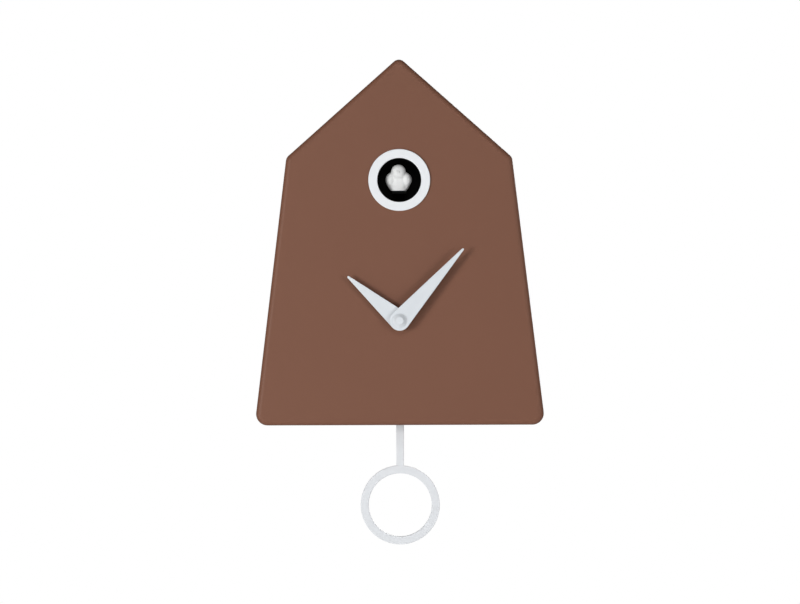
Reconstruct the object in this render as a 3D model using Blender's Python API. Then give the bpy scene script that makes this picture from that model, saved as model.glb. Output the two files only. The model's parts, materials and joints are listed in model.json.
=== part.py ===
"""A battery cuckoo clock for the wall: a house-shaped case, a bird behind a round window, and a pendulum.

Lengths in this file are millimetres, and add_object turns them into Blender's metres. X runs to
the viewer's right, Y from the front face (negative) to the wall (0), and Z up from the bottom of
the case. The empty clock_frame moves all of it, so that the world's origin is the keyhole's seat.
Outlines lie in the XZ plane, and solids are built up along Y.
"""

from math import acos, asin, cos, degrees, pi, radians, sin, sqrt, tan

import bmesh
import bpy
from mathutils import Matrix, Vector

MM = 0.001

# Case
BOTTOM_HALF_WIDTH = 116.2
EAVE_HALF_WIDTH = 90.3
EAVE_HEIGHT = 214.0
APEX_HEIGHT = 294.2
CORNER_RADII = (9.2, 9.2, 6.5, 6.0, 6.5)
CASE_DEPTH = 76.0
WALL = 2.5
EDGE_FILLET = 4.5
FRONT = -CASE_DEPTH
INSIDE_FRONT = FRONT + WALL
KEYHOLE_HEIGHT = 255.0

# Rear cover, recessed from the wall by the rim of the case
COVER_BACK = -3.0
COVER_FRONT = -5.5
COVER_GAP = 0.4
COVER_SCREWS = ((0.0, 276.0), (78.0, 207.0), (-78.0, 207.0), (102.0, 12.0), (-102.0, 12.0))
GAP = 0.3

# Window, bird and its drive
WINDOW_HEIGHT = 195.7
AT_WINDOW = (0.0, 0.0, WINDOW_HEIGHT)
RING_OUTER = 24.65
RING_INNER = 17.55
TUNNEL_OUTER = 19.0
TUNNEL_INNER = 17.7
TUNNEL_BACK = -46.0
CARRIAGE_TOP = -8.4
CARRIAGE_THICKNESS = 2.0
BEAM_HALF_WIDTH = 4.5
RACK_MODULE = 1.0
RACK_PITCH_LINE = -11.6
DRIVE_GEAR_Y = -34.0
DRIVE_PINION_TEETH = 12
DRIVE_GEAR_TEETH = 36
MOTOR_PINION_TEETH = 10
REDUCTION_MODULE = 0.6
BRACKET_SCREWS = ((-16.0, -45.0), (20.0, -45.0))

# Movement and hands, around the hand shaft
SHAFT_HEIGHT = 83.6
MOVEMENT_SIZE = 56.0
MOVEMENT_FRONT = -73.2
MOVEMENT_SPLIT = -64.8
MOVEMENT_BACK = -57.0
MOVEMENT_WALL = 1.2
MINUTE_ANGLE = 41.7
HOUR_ANGLE = -49.5
MINUTE_LENGTH = 76.5
HOUR_LENGTH = 54.4
HAND_BOSS = 8.0
ARBOR_RADIUS = 1.5
GEAR_ADDENDUM = 0.8
GEAR_DEDENDUM = 1.15
TOOTH_BASE = 0.8

# Places of the wheels as (x, z) from the hand shaft
THIRD_PLACE = (-8.83, 5.10)
FOURTH_PLACE = (-4.78, 12.115)
FIFTH_PLACE = (0.54, 13.05)
ROTOR_PLACE = (4.487, 11.613)
MINUTE_WHEEL_PLACE = (6.0, -10.392)

# Pendulum
PENDULUM_Y = -40.0
PIVOT_HEIGHT = 66.0
PENDULUM_RING_HEIGHT = -66.2
PENDULUM_RING_OUTER = 32.05
PENDULUM_RING_INNER = 25.55
PENDULUM_THICKNESS = 2.4
ROD_HOLE_HEIGHT = 34.0
SLOT_HALF_WIDTH = 14.0

# Sound and power
SPEAKER_PLACE = (44.0, 128.0)
VOLUME_PLACE = (-52.0, 134.0)
SWITCH_PLACE = (-40.0, 108.0)
BOARD_FRONT = -15.6
BOARD_BACK = -14.0
DOOR_HALF_WIDTH = 31.1
DOOR_TOP = 49.6
DOOR_HINGE_Y = -4.2
DOOR_HINGE_HEIGHT = 15.5
DOOR_EDGE_RADIUS = 1.0
CELL_RADIUS = 7.0
CELL_Y = -13.2
CELL_HEIGHTS = (21.6, 42.4)

# Colours are linear RGB, followed by metallic and roughness.
FINISHES = {
    "brown_plastic": ((0.200, 0.098, 0.069), 0.0, 0.45),
    "white_plastic": ((0.800, 0.820, 0.840), 0.0, 0.40),
    "hand_paint": ((0.640, 0.710, 0.760), 0.0, 0.35),
    "black_plastic": ((0.012, 0.011, 0.011), 0.0, 0.55),
    "gear_nylon": ((0.750, 0.730, 0.660), 0.0, 0.45),
    "steel": ((0.560, 0.570, 0.580), 1.0, 0.30),
    "brass": ((0.780, 0.570, 0.250), 1.0, 0.30),
    "copper_wire": ((0.640, 0.260, 0.120), 1.0, 0.35),
    "board_green": ((0.020, 0.130, 0.060), 0.0, 0.40),
    "cone_paper": ((0.035, 0.033, 0.032), 0.0, 0.85),
    "cell_sleeve": ((0.050, 0.110, 0.330), 0.0, 0.30),
    "wire_red": ((0.450, 0.020, 0.015), 0.0, 0.45),
}


def clear_scene():
    for obj in list(bpy.data.objects):
        bpy.data.objects.remove(obj)


def make_frame():
    frame = bpy.data.objects.new("clock_frame", None)
    frame.location.z = -KEYHOLE_HEIGHT * MM
    bpy.context.collection.objects.link(frame)
    return frame


def finish_material(name):
    """The material of one finish, made once and shared."""
    if name in bpy.data.materials:
        return bpy.data.materials[name]
    colour, metallic, roughness = FINISHES[name]
    material = bpy.data.materials.new(name)
    material.use_nodes = True
    shader = material.node_tree.nodes["Principled BSDF"]
    shader.inputs["Base Color"].default_value = (*colour, 1.0)
    shader.inputs["Metallic"].default_value = metallic
    shader.inputs["Roughness"].default_value = roughness
    return material


def add_object(name, shape, finish, place=(0.0, 0.0, 0.0), turn=(0.0, 0.0, 0.0)):
    """Link a bmesh as an object of the clock; turn is in radians."""
    bmesh.ops.recalc_face_normals(shape, faces=shape.faces)
    bmesh.ops.scale(shape, vec=(MM, MM, MM), verts=shape.verts)
    mesh = bpy.data.meshes.new(name)
    shape.to_mesh(mesh)
    shape.free()
    mesh.materials.append(finish_material(finish))
    mesh.shade_smooth()
    mesh.set_sharp_from_angle(angle=radians(35))
    obj = bpy.data.objects.new(name, mesh)
    obj.parent = CLOCK_FRAME
    obj.location = Vector(place) * MM
    obj.rotation_euler = turn
    bpy.context.collection.objects.link(obj)
    return obj


def add_guide(name, shape, place=(0.0, 0.0, 0.0), turn=(0.0, 0.0, 0.0)):
    """A shape that only cuts or joins, left out of the clock itself."""
    guide = add_object(name, shape, "black_plastic", place, turn)
    guide.hide_render = True
    guide.display_type = "WIRE"
    return guide


def combine(obj, guide, operation):
    modifier = obj.modifiers.new(guide.name, "BOOLEAN")
    modifier.operation = operation
    modifier.object = guide
    modifier.solver = "EXACT"


def join_onto(obj, shapes, place, turn):
    """Unite overlapping solids with an object, one after the other."""
    for number, shape in enumerate(shapes, start=1):
        combine(obj, add_guide(f"{obj.name}_join_{number}", shape, place, turn), "UNION")
    return obj


def add_joined(name, shapes, finish, place=(0.0, 0.0, 0.0), turn=(0.0, 0.0, 0.0)):
    """An object made of overlapping solids."""
    return join_onto(add_object(name, shapes[0], finish, place, turn), shapes[1:], place, turn)


def joined_guide(name, shapes, place=(0.0, 0.0, 0.0), turn=(0.0, 0.0, 0.0)):
    """A guide made of overlapping solids."""
    return join_onto(add_guide(name, shapes[0], place, turn), shapes[1:], place, turn)


# Outlines, each a list of (x, z) run anticlockwise as seen from the front


def circle(radius, segments, centre=(0.0, 0.0)):
    angles = [2 * pi * k / segments for k in range(segments)]
    return [(centre[0] + radius * cos(a), centre[1] + radius * sin(a)) for a in angles]


def arc(radius, first, last, segments, centre=(0.0, 0.0)):
    """Points from one angle to another, in degrees, with both ends."""
    angles = [radians(first + (last - first) * k / segments) for k in range(segments + 1)]
    return [(centre[0] + radius * cos(a), centre[1] + radius * sin(a)) for a in angles]


def rectangle(left, right, low, high):
    return [(left, low), (right, low), (right, high), (left, high)]


def corner_frame(corners, index):
    """A corner, its inward bisector, the direction along the edge before it, and half its angle."""
    corner = Vector(corners[index])
    before = (Vector(corners[index - 1]) - corner).normalized()
    after = (Vector(corners[(index + 1) % len(corners)]) - corner).normalized()
    half_angle = before.angle(after) / 2
    return corner, (before + after).normalized(), before, half_angle


def rounded(corners, radii, segments):
    """The outline of a convex polygon whose corners are arcs."""
    points = []
    for index, radius in enumerate(radii):
        corner, inward, before, half_angle = corner_frame(corners, index)
        centre = corner + inward * radius / sin(half_angle)
        spoke = corner + before * radius / tan(half_angle) - centre
        sweep = pi - 2 * half_angle
        for k in range(segments + 1):
            point = centre + Matrix.Rotation(sweep * k / segments, 2) @ spoke
            points.append((point.x, point.y))
    return points


def house(inset, segments=6):
    """The case's outline, moved inwards by inset."""
    corners = [
        (-BOTTOM_HALF_WIDTH, 0.0),
        (BOTTOM_HALF_WIDTH, 0.0),
        (EAVE_HALF_WIDTH, EAVE_HEIGHT),
        (0.0, APEX_HEIGHT),
        (-EAVE_HALF_WIDTH, EAVE_HEIGHT),
    ]
    moved = []
    for index in range(len(corners)):
        corner, inward, _, half_angle = corner_frame(corners, index)
        moved.append(corner + inward * inset / sin(half_angle))
    least_radius = 0.8
    return rounded(moved, [max(radius - inset, least_radius) for radius in CORNER_RADII], segments)


def gear_outline(teeth, module, toward=0.0, gap=False):
    """Pointed teeth; a tooth, or a gap, is centred on the angle toward, in degrees."""
    pitch = 2 * pi / teeth
    first = radians(toward) + (pitch / 2 if gap else 0.0)
    tip = module * (teeth / 2 + GEAR_ADDENDUM)
    root = module * (teeth / 2 - GEAR_DEDENDUM)
    points = []
    for tooth in range(teeth):
        centre = first + tooth * pitch
        for radius, share in ((root, -TOOTH_BASE / 2), (tip, 0.0), (root, TOOTH_BASE / 2)):
            angle = centre + share * pitch
            points.append((radius * cos(angle), radius * sin(angle)))
    return points


def hand_outline(length, boss, tip_radius, angle):
    """A round boss and a small tip joined by tangents, pointing angle degrees clockwise of up."""
    lean = degrees(asin((boss - tip_radius) / length))
    around_boss = arc(boss, 180 - lean, 360 + lean, 22)
    around_tip = arc(tip_radius, lean, 180 - lean, 4, (0.0, length - tip_radius))
    turn = Matrix.Rotation(-radians(angle), 2)
    return [tuple(turn @ Vector(point)) for point in around_boss + around_tip]


def keyhole_outline(slot_radius=2.3, entry_radius=5.0, entry_drop=10.0):
    """A round entry below a narrow slot whose top carries the screw."""
    entry_centre = (0.0, KEYHOLE_HEIGHT - entry_drop)
    side = degrees(acos(slot_radius / entry_radius))
    top = arc(slot_radius, 0, 180, 8, (0.0, KEYHOLE_HEIGHT))
    return top + arc(entry_radius, 180 - side, 360 + side, 16, entry_centre)


# Solids


def ring_of_vertices(shape, outline, y):
    return [shape.verts.new((x, y, z)) for x, z in outline]


def bridge(shape, first, second):
    count = len(first)
    for k in range(count):
        after = (k + 1) % count
        shape.faces.new((first[k], first[after], second[after], second[k]))


def loft(sections):
    """A solid through (outline, y) sections of equal counts, closed by the first and the last."""
    shape = bmesh.new()
    rings = [ring_of_vertices(shape, outline, y) for outline, y in sections]
    for first, second in zip(rings, rings[1:]):
        bridge(shape, first, second)
    shape.faces.new(rings[0])
    shape.faces.new(rings[-1])
    return shape


def prism(outline, front, back):
    return loft([(outline, front), (outline, back)])


def tray(outline, inner, front, back, floor):
    """A box open at the back, with a floor at its front."""
    return loft([(outline, front), (outline, back), (inner, back), (inner, front + floor)])


def fill_between(shape, rings):
    """Faces of the plane region bounded by one ring and the rings inside it."""
    edges = []
    for ring in rings:
        for k, vertex in enumerate(ring):
            pair = (vertex, ring[(k + 1) % len(ring)])
            edges.append(shape.edges.get(pair) or shape.edges.new(pair))
    bmesh.ops.triangle_fill(shape, use_beauty=True, edges=edges)


def pierced(outline, holes, front, back):
    """A plate with holes right through it."""
    shape = bmesh.new()
    front_rings = [ring_of_vertices(shape, loop, front) for loop in [outline, *holes]]
    back_rings = [ring_of_vertices(shape, loop, back) for loop in [outline, *holes]]
    for first, second in zip(front_rings, back_rings):
        bridge(shape, first, second)
    fill_between(shape, front_rings)
    fill_between(shape, back_rings)
    return shape


def stepped(steps, bore=None):
    """Outlines stacked along Y as (outline, back) after a first front, each step inside the next or
    around it; bore is an outline cut through all of them."""
    shape = bmesh.new()
    front = steps[0]
    bore_ring = ring_of_vertices(shape, bore, front) if bore else None
    waiting = None
    for outline, back in steps[1:]:
        ring = ring_of_vertices(shape, outline, front)
        if waiting:
            fill_between(shape, [waiting, ring])
        else:
            fill_between(shape, [ring, bore_ring] if bore else [ring])
        waiting = ring_of_vertices(shape, outline, back)
        bridge(shape, ring, waiting)
        front = back
    if bore:
        last_bore = ring_of_vertices(shape, bore, front)
        bridge(shape, bore_ring, last_bore)
        fill_between(shape, [waiting, last_bore])
    else:
        fill_between(shape, [waiting])
    return shape


def turned(profile, segments, centre=(0.0, 0.0)):
    """A profile of (radius, y) spun about the Y axis; an end off the axis closes onto the start."""
    shape = bmesh.new()
    rings = []
    for radius, y in profile:
        if radius == 0.0:
            rings.append([shape.verts.new((centre[0], y, centre[1]))])
        else:
            rings.append(ring_of_vertices(shape, circle(radius, segments, centre), y))
    pairs = list(zip(rings, rings[1:]))
    if profile[0][0] > 0.0:
        pairs.append((rings[-1], rings[0]))
    for first, second in pairs:
        for k in range(segments):
            after = (k + 1) % segments
            if len(first) == 1:
                shape.faces.new((first[0], second[after], second[k]))
            elif len(second) == 1:
                shape.faces.new((first[k], first[after], second[0]))
            else:
                shape.faces.new((first[k], first[after], second[after], second[k]))
    return shape


def across_x(side, left, right):
    """A solid whose outline of (y, z) points lies across the X axis."""
    shape = prism(side, left, right)
    swap_axes = Matrix(((0, 1, 0), (1, 0, 0), (0, 0, 1)))
    bmesh.ops.transform(shape, matrix=swap_axes.to_4x4(), verts=shape.verts)
    return shape


def box(left, right, front, back, low, high):
    return prism(rectangle(left, right, low, high), front, back)


def cylinder(radius, front, back, segments=16, centre=(0.0, 0.0)):
    return prism(circle(radius, segments, centre), front, back)


def merged(shapes):
    """Several solids as one mesh, for a guide that cuts or joins them all at once."""
    total = bmesh.new()
    for shape in shapes:
        scratch = bpy.data.meshes.new("scratch")
        bmesh.ops.recalc_face_normals(shape, faces=shape.faces)
        shape.to_mesh(scratch)
        shape.free()
        total.from_mesh(scratch)
        bpy.data.meshes.remove(scratch)
    return total


def ball(radii, centre, segments, rings):
    shape = bmesh.new()
    bmesh.ops.create_uvsphere(shape, u_segments=segments, v_segments=rings, radius=1.0)
    bmesh.ops.scale(shape, vec=radii, verts=shape.verts)
    bmesh.ops.translate(shape, vec=centre, verts=shape.verts)
    return shape


# Case


def make_front_shell():
    fillet_steps = 3
    outside = []
    for k in range(fillet_steps + 1):
        angle = pi / 2 * k / fillet_steps
        outside.append((EDGE_FILLET * (1 - sin(angle)), FRONT + EDGE_FILLET * (1 - cos(angle))))
    inner_fillet = EDGE_FILLET - WALL
    inside = [(WALL, INSIDE_FRONT + inner_fillet), (WALL + inner_fillet, INSIDE_FRONT)]
    levels = outside + [(0.0, 0.0), (WALL, 0.0)] + inside
    shell = add_object("front_shell", loft([(house(inset), y) for inset, y in levels]), "brown_plastic")
    combine(shell, add_guide("shell_bosses", merged(shell_boss_shapes())), "UNION")
    combine(shell, add_guide("shell_holes", merged(shell_hole_shapes())), "DIFFERENCE")


def shell_boss_shapes():
    """Screw bosses that stand on the inside of the front face."""
    boss_radius = 4.0
    root = INSIDE_FRONT - 1.0
    shapes = []
    for place in COVER_SCREWS:
        shapes.append(cylinder(boss_radius, root, COVER_FRONT - GAP, 12, place))
    for x, drop in BRACKET_SCREWS:
        shapes.append(cylinder(boss_radius, root, -44.9, 12, (x, WINDOW_HEIGHT + drop)))
    return shapes


def shell_hole_shapes():
    """The window, the hole for the hand shaft, the pendulum's slot and the screws' pilot holes."""
    pilot_radius = 1.8
    shapes = [
        cylinder(TUNNEL_OUTER + 0.4, FRONT - 2, INSIDE_FRONT + 2, 32, (0.0, WINDOW_HEIGHT)),
        cylinder(4.4, FRONT - 2, INSIDE_FRONT + 2, 16, (0.0, SHAFT_HEIGHT)),
        box(-SLOT_HALF_WIDTH, SLOT_HALF_WIDTH, PENDULUM_Y - 6, PENDULUM_Y + 6, -3.0, 5.0),
    ]
    for place in COVER_SCREWS:
        shapes.append(cylinder(pilot_radius, -18.0, 0.0, 8, place))
    for x, drop in BRACKET_SCREWS:
        shapes.append(cylinder(pilot_radius, -56.0, -40.0, 8, (x, WINDOW_HEIGHT + drop)))
    return shapes


def speaker_slots():
    half_height = 1.1
    spacing = 4.6
    reach = 20.5
    x, z = SPEAKER_PLACE
    slots = []
    for k in range(-4, 5):
        rise = k * spacing
        half = sqrt(reach**2 - rise**2)
        slots.append(rectangle(x - half, x + half, z + rise - half_height, z + rise + half_height))
    return slots


def make_rear_cover():
    switch_x, switch_z = SWITCH_PLACE
    holes = [circle(1.9, 10, place) for place in COVER_SCREWS]
    holes += speaker_slots()
    holes += [
        keyhole_outline(),
        circle(9.2, 24, (0.0, SHAFT_HEIGHT)),
        circle(7.5, 20, VOLUME_PLACE),
        rectangle(switch_x - 5.5, switch_x + 5.5, switch_z - 2.5, switch_z + 2.5),
        rectangle(-DOOR_HALF_WIDTH - 0.4, DOOR_HALF_WIDTH + 0.4, 14.0, DOOR_TOP + 0.4),
    ]
    cover = pierced(house(WALL + COVER_GAP), holes, COVER_FRONT, COVER_BACK)
    add_object("rear_cover", cover, "brown_plastic")


def add_screw(name, place, seat, length, head_radius=3.2, head_height=1.7, shank=1.5):
    """A screw driven in from the back, with its head's underside at y = seat."""
    profile = [
        (0.0, seat + head_height),
        (head_radius * 0.7, seat + head_height),
        (head_radius, seat),
        (shank, seat),
        (shank, seat - length),
        (0.0, seat - length - 1.0),
    ]
    add_object(name, turned(profile, 10), "steel", (place[0], 0.0, place[1]))


def make_cover_screws():
    for number, place in enumerate(COVER_SCREWS, start=1):
        add_screw(f"cover_screw_{number}", place, COVER_BACK + 0.3, 12.0)


# Window, bird and its drive


def make_window_ring():
    back = FRONT - GAP
    front = back - 1.3
    profile = [(RING_INNER, back), (RING_OUTER, back), (RING_OUTER, front), (RING_INNER, front)]
    ring = turned(profile, 48)
    add_object("window_ring", ring, "white_plastic", AT_WINDOW)


def make_bird_tunnel():
    flange = 23.5
    thickness = 1.2
    floor = 1.5
    seat = INSIDE_FRONT + GAP
    profile = [
        (0.0, TUNNEL_BACK - floor),
        (TUNNEL_INNER, TUNNEL_BACK - floor),
        (TUNNEL_INNER, FRONT),
        (TUNNEL_OUTER, FRONT),
        (TUNNEL_OUTER, seat),
        (flange, seat),
        (flange, seat + thickness),
        (TUNNEL_OUTER, seat + thickness),
        (TUNNEL_OUTER, TUNNEL_BACK),
        (0.0, TUNNEL_BACK),
    ]
    tunnel = add_object("bird_tunnel", turned(profile, 26), "black_plastic", AT_WINDOW)
    rail_inner = BEAM_HALF_WIDTH + 0.5
    rail_outer = rail_inner + 1.4
    rail_back = -14.0
    rail_low, rail_high = -13.2, -6.9
    tie_front, tie_back, tie_low = -26.0, -18.0, -8.0
    root = TUNNEL_BACK - 0.5
    rails = [
        box(-rail_outer, -rail_inner, root, rail_back, rail_low, rail_high),
        box(rail_inner, rail_outer, root, rail_back, rail_low, rail_high),
        box(-rail_outer, rail_outer, tie_front, tie_back, tie_low, rail_high + 0.1),
    ]
    rails_guide = joined_guide("tunnel_rails", rails, AT_WINDOW)
    combine(tunnel, rails_guide, "UNION")
    slot = box(-rail_inner, rail_inner, TUNNEL_BACK - 4, TUNNEL_BACK + 1, rail_low, tie_low)
    combine(tunnel, add_guide("tunnel_slot", slot, AT_WINDOW), "DIFFERENCE")


def make_bird():
    """A standing bird with its wings half open, cut flat at its feet; y runs from beak to tail."""
    breast = ball((6.6, 8.4, 7.8), (-0.2, -60.2, -1.6), 14, 8)
    body = ball((8.9, 5.6, 7.0), (-0.3, -57.8, -1.6), 14, 8)
    head = ball((6.4, 6.0, 8.0), (-0.7, -62.8, 4.7), 14, 8)
    wing_left = ball((4.9, 6.5, 5.3), (-5.8, -59.4, 1.0), 10, 6)
    wing_right = ball((4.9, 6.5, 5.3), (5.5, -59.4, 1.0), 10, 6)
    tail = ball((4.0, 5.0, 2.0), (0.0, -54.0, -2.5), 8, 6)
    beak_profile = [(0.0, -73.0), (2.1, -68.0), (2.1, -66.0), (0.0, -66.0)]
    beak = turned(beak_profile, 8, (-1.0, 6.6))
    shapes = [breast, body, head, wing_left, wing_right, tail, beak]
    bird = add_joined("bird", shapes, "white_plastic", AT_WINDOW)
    base = box(-30.0, 30.0, -90.0, -30.0, -30.0, CARRIAGE_TOP + GAP)
    combine(bird, add_guide("bird_base_cut", base, AT_WINDOW), "DIFFERENCE")


def rack_outline(first_tooth, teeth):
    """The rack's side as (y, z): pointed teeth below the beam, one pitch apart."""
    pitch = pi * RACK_MODULE
    root = RACK_PITCH_LINE + GEAR_DEDENDUM * RACK_MODULE
    tip = RACK_PITCH_LINE - GEAR_ADDENDUM * RACK_MODULE
    half_base = TOOTH_BASE * pitch / 2
    start = first_tooth - pitch / 2
    end = first_tooth + (teeth - 0.5) * pitch
    points = []
    for tooth in range(teeth):
        centre = first_tooth + tooth * pitch
        points += [(centre - half_base, root), (centre, tip), (centre + half_base, root)]
    top = CARRIAGE_TOP - CARRIAGE_THICKNESS / 2
    return [(start, root), *points, (end, root), (end, top), (start, top)]


def make_bird_carriage():
    """A plate under the bird, a beam through the tunnel's back wall and a rack below the beam."""
    bottom = CARRIAGE_TOP - CARRIAGE_THICKNESS
    plate_half = 5.9
    plate = box(-plate_half, plate_half, -69.0, -50.0, bottom, CARRIAGE_TOP)
    beam = box(-BEAM_HALF_WIDTH, BEAM_HALF_WIDTH, -51.0, -7.0, bottom, CARRIAGE_TOP)
    # A tooth of the rack stands over the drive gear's axis at rest, and travel moves the rack forwards.
    teeth = 10
    side = rack_outline(DRIVE_GEAR_Y - RACK_MODULE * pi, teeth)
    rack_half = 1.6
    rack = across_x(side, -rack_half, rack_half)
    add_joined("bird_carriage", [beam, plate, rack], "black_plastic", AT_WINDOW)


# Pieces that turn about the X axis are built along Y and turned, so that local y is world x.
ALONG_X = (0.0, 0.0, -pi / 2)


def drive_gear_height():
    return WINDOW_HEIGHT + RACK_PITCH_LINE - RACK_MODULE * DRIVE_PINION_TEETH / 2


def motor_height():
    return drive_gear_height() - REDUCTION_MODULE * (DRIVE_GEAR_TEETH + MOTOR_PINION_TEETH) / 2


def make_bird_drive_gear():
    """The pinion under the rack and the large gear beside it, on their own trunnions."""
    trunnion = circle(1.3, 12)
    hub = circle(3.0, 16)
    pinion = gear_outline(DRIVE_PINION_TEETH, RACK_MODULE, 90.0, gap=True)
    gear = gear_outline(DRIVE_GEAR_TEETH, REDUCTION_MODULE, -90.0)
    steps = [-4.1, (trunnion, -2.2), (pinion, 2.2), (hub, 7.2), (gear, 9.2), (trunnion, 11.6)]
    place = (0.0, DRIVE_GEAR_Y, drive_gear_height())
    add_object("bird_drive_gear", stepped(steps), "black_plastic", place, ALONG_X)


def make_bird_motor():
    """A round motor can with its front bush; the shaft turns with the pinion."""
    bore, bush, can = 1.3, 3.0, 8.0
    rear, face, bush_end = -25.0, -6.0, -4.8
    profile = [(bore, rear), (can, rear), (can, face), (bush, face), (bush, bush_end), (bore, bush_end)]
    place = (0.0, DRIVE_GEAR_Y, motor_height())
    add_object("bird_motor", turned(profile, 20), "steel", place, ALONG_X)
    shaft = circle(1.0, 10)
    pinion = gear_outline(MOTOR_PINION_TEETH, REDUCTION_MODULE, 90.0, gap=True)
    steps = [-24.0, (shaft, 7.0), (pinion, 9.4), (shaft, 9.9)]
    add_object("bird_motor_pinion", stepped(steps), "brass", place, ALONG_X)


def make_bird_bracket():
    """A U-shaped bracket that holds the drive gear and the motor, on a flange with two screws."""
    left_cheek, right_cheek, sheet = -4.3, 10.3, 1.3
    top, bottom = -13.6, -41.0
    front, back = -44.6, -26.0
    flange = [(-20.0, -49.0), (24.0, -49.0), (24.0, -36.0), (-20.0, -36.0)]
    holes = [circle(1.9, 10, place) for place in BRACKET_SCREWS]
    shapes = [
        pierced(flange, holes, front, front + sheet),
        box(left_cheek, left_cheek + sheet, front + 0.4, back, bottom, top),
        box(right_cheek, right_cheek + sheet, front + 0.4, back, bottom, top),
        box(left_cheek, right_cheek + sheet, front + 0.4, back, bottom, bottom + sheet),
    ]
    bracket = add_joined("bird_bracket", shapes, "black_plastic", AT_WINDOW)
    axle_holes = merged([cylinder(1.6, -8.0, 14.0, 12), cylinder(3.3, -8.0, 0.0, 12, motor_offset())])
    axle_place = (0.0, DRIVE_GEAR_Y, drive_gear_height())
    combine(bracket, add_guide("bracket_axle_holes", axle_holes, axle_place, ALONG_X), "DIFFERENCE")
    for number, (x, drop) in enumerate(BRACKET_SCREWS, start=1):
        seat = front + sheet + 0.3
        add_screw(f"bracket_screw_{number}", (x, WINDOW_HEIGHT + drop), seat, 8.0, 2.8, 1.5, 1.4)


def motor_offset():
    return (0.0, motor_height() - drive_gear_height())


# Movement and hands


def at_shaft(place=(0.0, 0.0)):
    return (place[0], 0.0, SHAFT_HEIGHT + place[1])


def angle_to(start, end):
    return degrees(Vector((1.0, 0.0)).angle_signed(Vector(end) - Vector(start))) * -1.0


def square(half, radius, segments=3):
    return rounded(rectangle(-half, half, -half, half), [radius] * 4, segments)


def make_movement_cases():
    half = MOVEMENT_SIZE / 2
    outer = square(half, 3.0)
    inner = square(half - MOVEMENT_WALL, 2.0)
    front_tray = tray(outer, inner, MOVEMENT_FRONT, MOVEMENT_SPLIT - GAP, MOVEMENT_WALL)
    front = add_object("movement_front_case", front_tray, "black_plastic", at_shaft())
    bushing = cylinder(4.0, -80.0, MOVEMENT_FRONT + 0.6, 16)
    combine(front, add_guide("bushing", bushing, at_shaft()), "UNION")
    bore = cylinder(3.1, -81.0, MOVEMENT_FRONT + 2.0, 16)
    combine(front, add_guide("bushing_bore", bore, at_shaft()), "DIFFERENCE")
    back_tray = loft([
        (outer, MOVEMENT_BACK),
        (outer, MOVEMENT_SPLIT),
        (inner, MOVEMENT_SPLIT),
        (inner, MOVEMENT_BACK - MOVEMENT_WALL),
    ])
    back = add_object("movement_back_case", back_tray, "black_plastic", at_shaft())
    stem_hole = cylinder(2.0, MOVEMENT_BACK - 3.0, MOVEMENT_BACK + 1.0, 12)
    combine(back, add_guide("stem_hole", stem_hole, at_shaft()), "DIFFERENCE")


def make_middle_plate():
    holes = [circle(3.2, 16)]
    holes += [circle(0.9, 8, place) for place in (THIRD_PLACE, FOURTH_PLACE, FIFTH_PLACE)]
    holes += [circle(0.7, 8, ROTOR_PLACE), circle(1.0, 8, MINUTE_WHEEL_PLACE)]
    plate = pierced(square(MOVEMENT_SIZE / 2 - 1.6, 2.0), holes, -67.8, -67.0)
    add_object("movement_middle_plate", plate, "black_plastic", at_shaft())


def make_nut_and_washer():
    washer = pierced(circle(7.0, 24), [circle(4.4, 16)], FRONT - 0.9, FRONT - 0.3)
    add_object("movement_washer", washer, "steel", at_shaft())
    nut = pierced(circle(6.6, 6), [circle(4.3, 16)], FRONT - 3.2, FRONT - 1.2)
    add_object("movement_nut", nut, "brass", at_shaft())


def make_motion_works():
    """The arbor with its cannon pinion, the minute wheel beside it and the hour wheel around it."""
    to_minute_wheel = angle_to((0.0, 0.0), MINUTE_WHEEL_PLACE)
    arbor = circle(ARBOR_RADIUS, 14)
    cannon = gear_outline(12, 0.5, to_minute_wheel)
    steps = [-86.6, (arbor, -69.9), (cannon, -68.3), (arbor, -9.4)]
    add_object("centre_arbor", stepped(steps), "steel", at_shaft())

    post = circle(0.7, 10)
    pinion = gear_outline(10, 0.48, to_minute_wheel + 180.0, gap=True)
    wheel = gear_outline(36, 0.5, to_minute_wheel + 180.0, gap=True)
    steps = [-71.9, (post, -71.5), (pinion, -69.6), (wheel, -68.5), (post, -66.8)]
    add_object("minute_wheel", stepped(steps), "gear_nylon", at_shaft(MINUTE_WHEEL_PLACE))

    pipe = circle(2.7, 16)
    wheel = gear_outline(40, 0.48, to_minute_wheel)
    steps = [-82.3, (pipe, -71.4), (wheel, -70.2)]
    add_object("hour_wheel", stepped(steps, circle(1.85, 14)), "gear_nylon", at_shaft())


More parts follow.
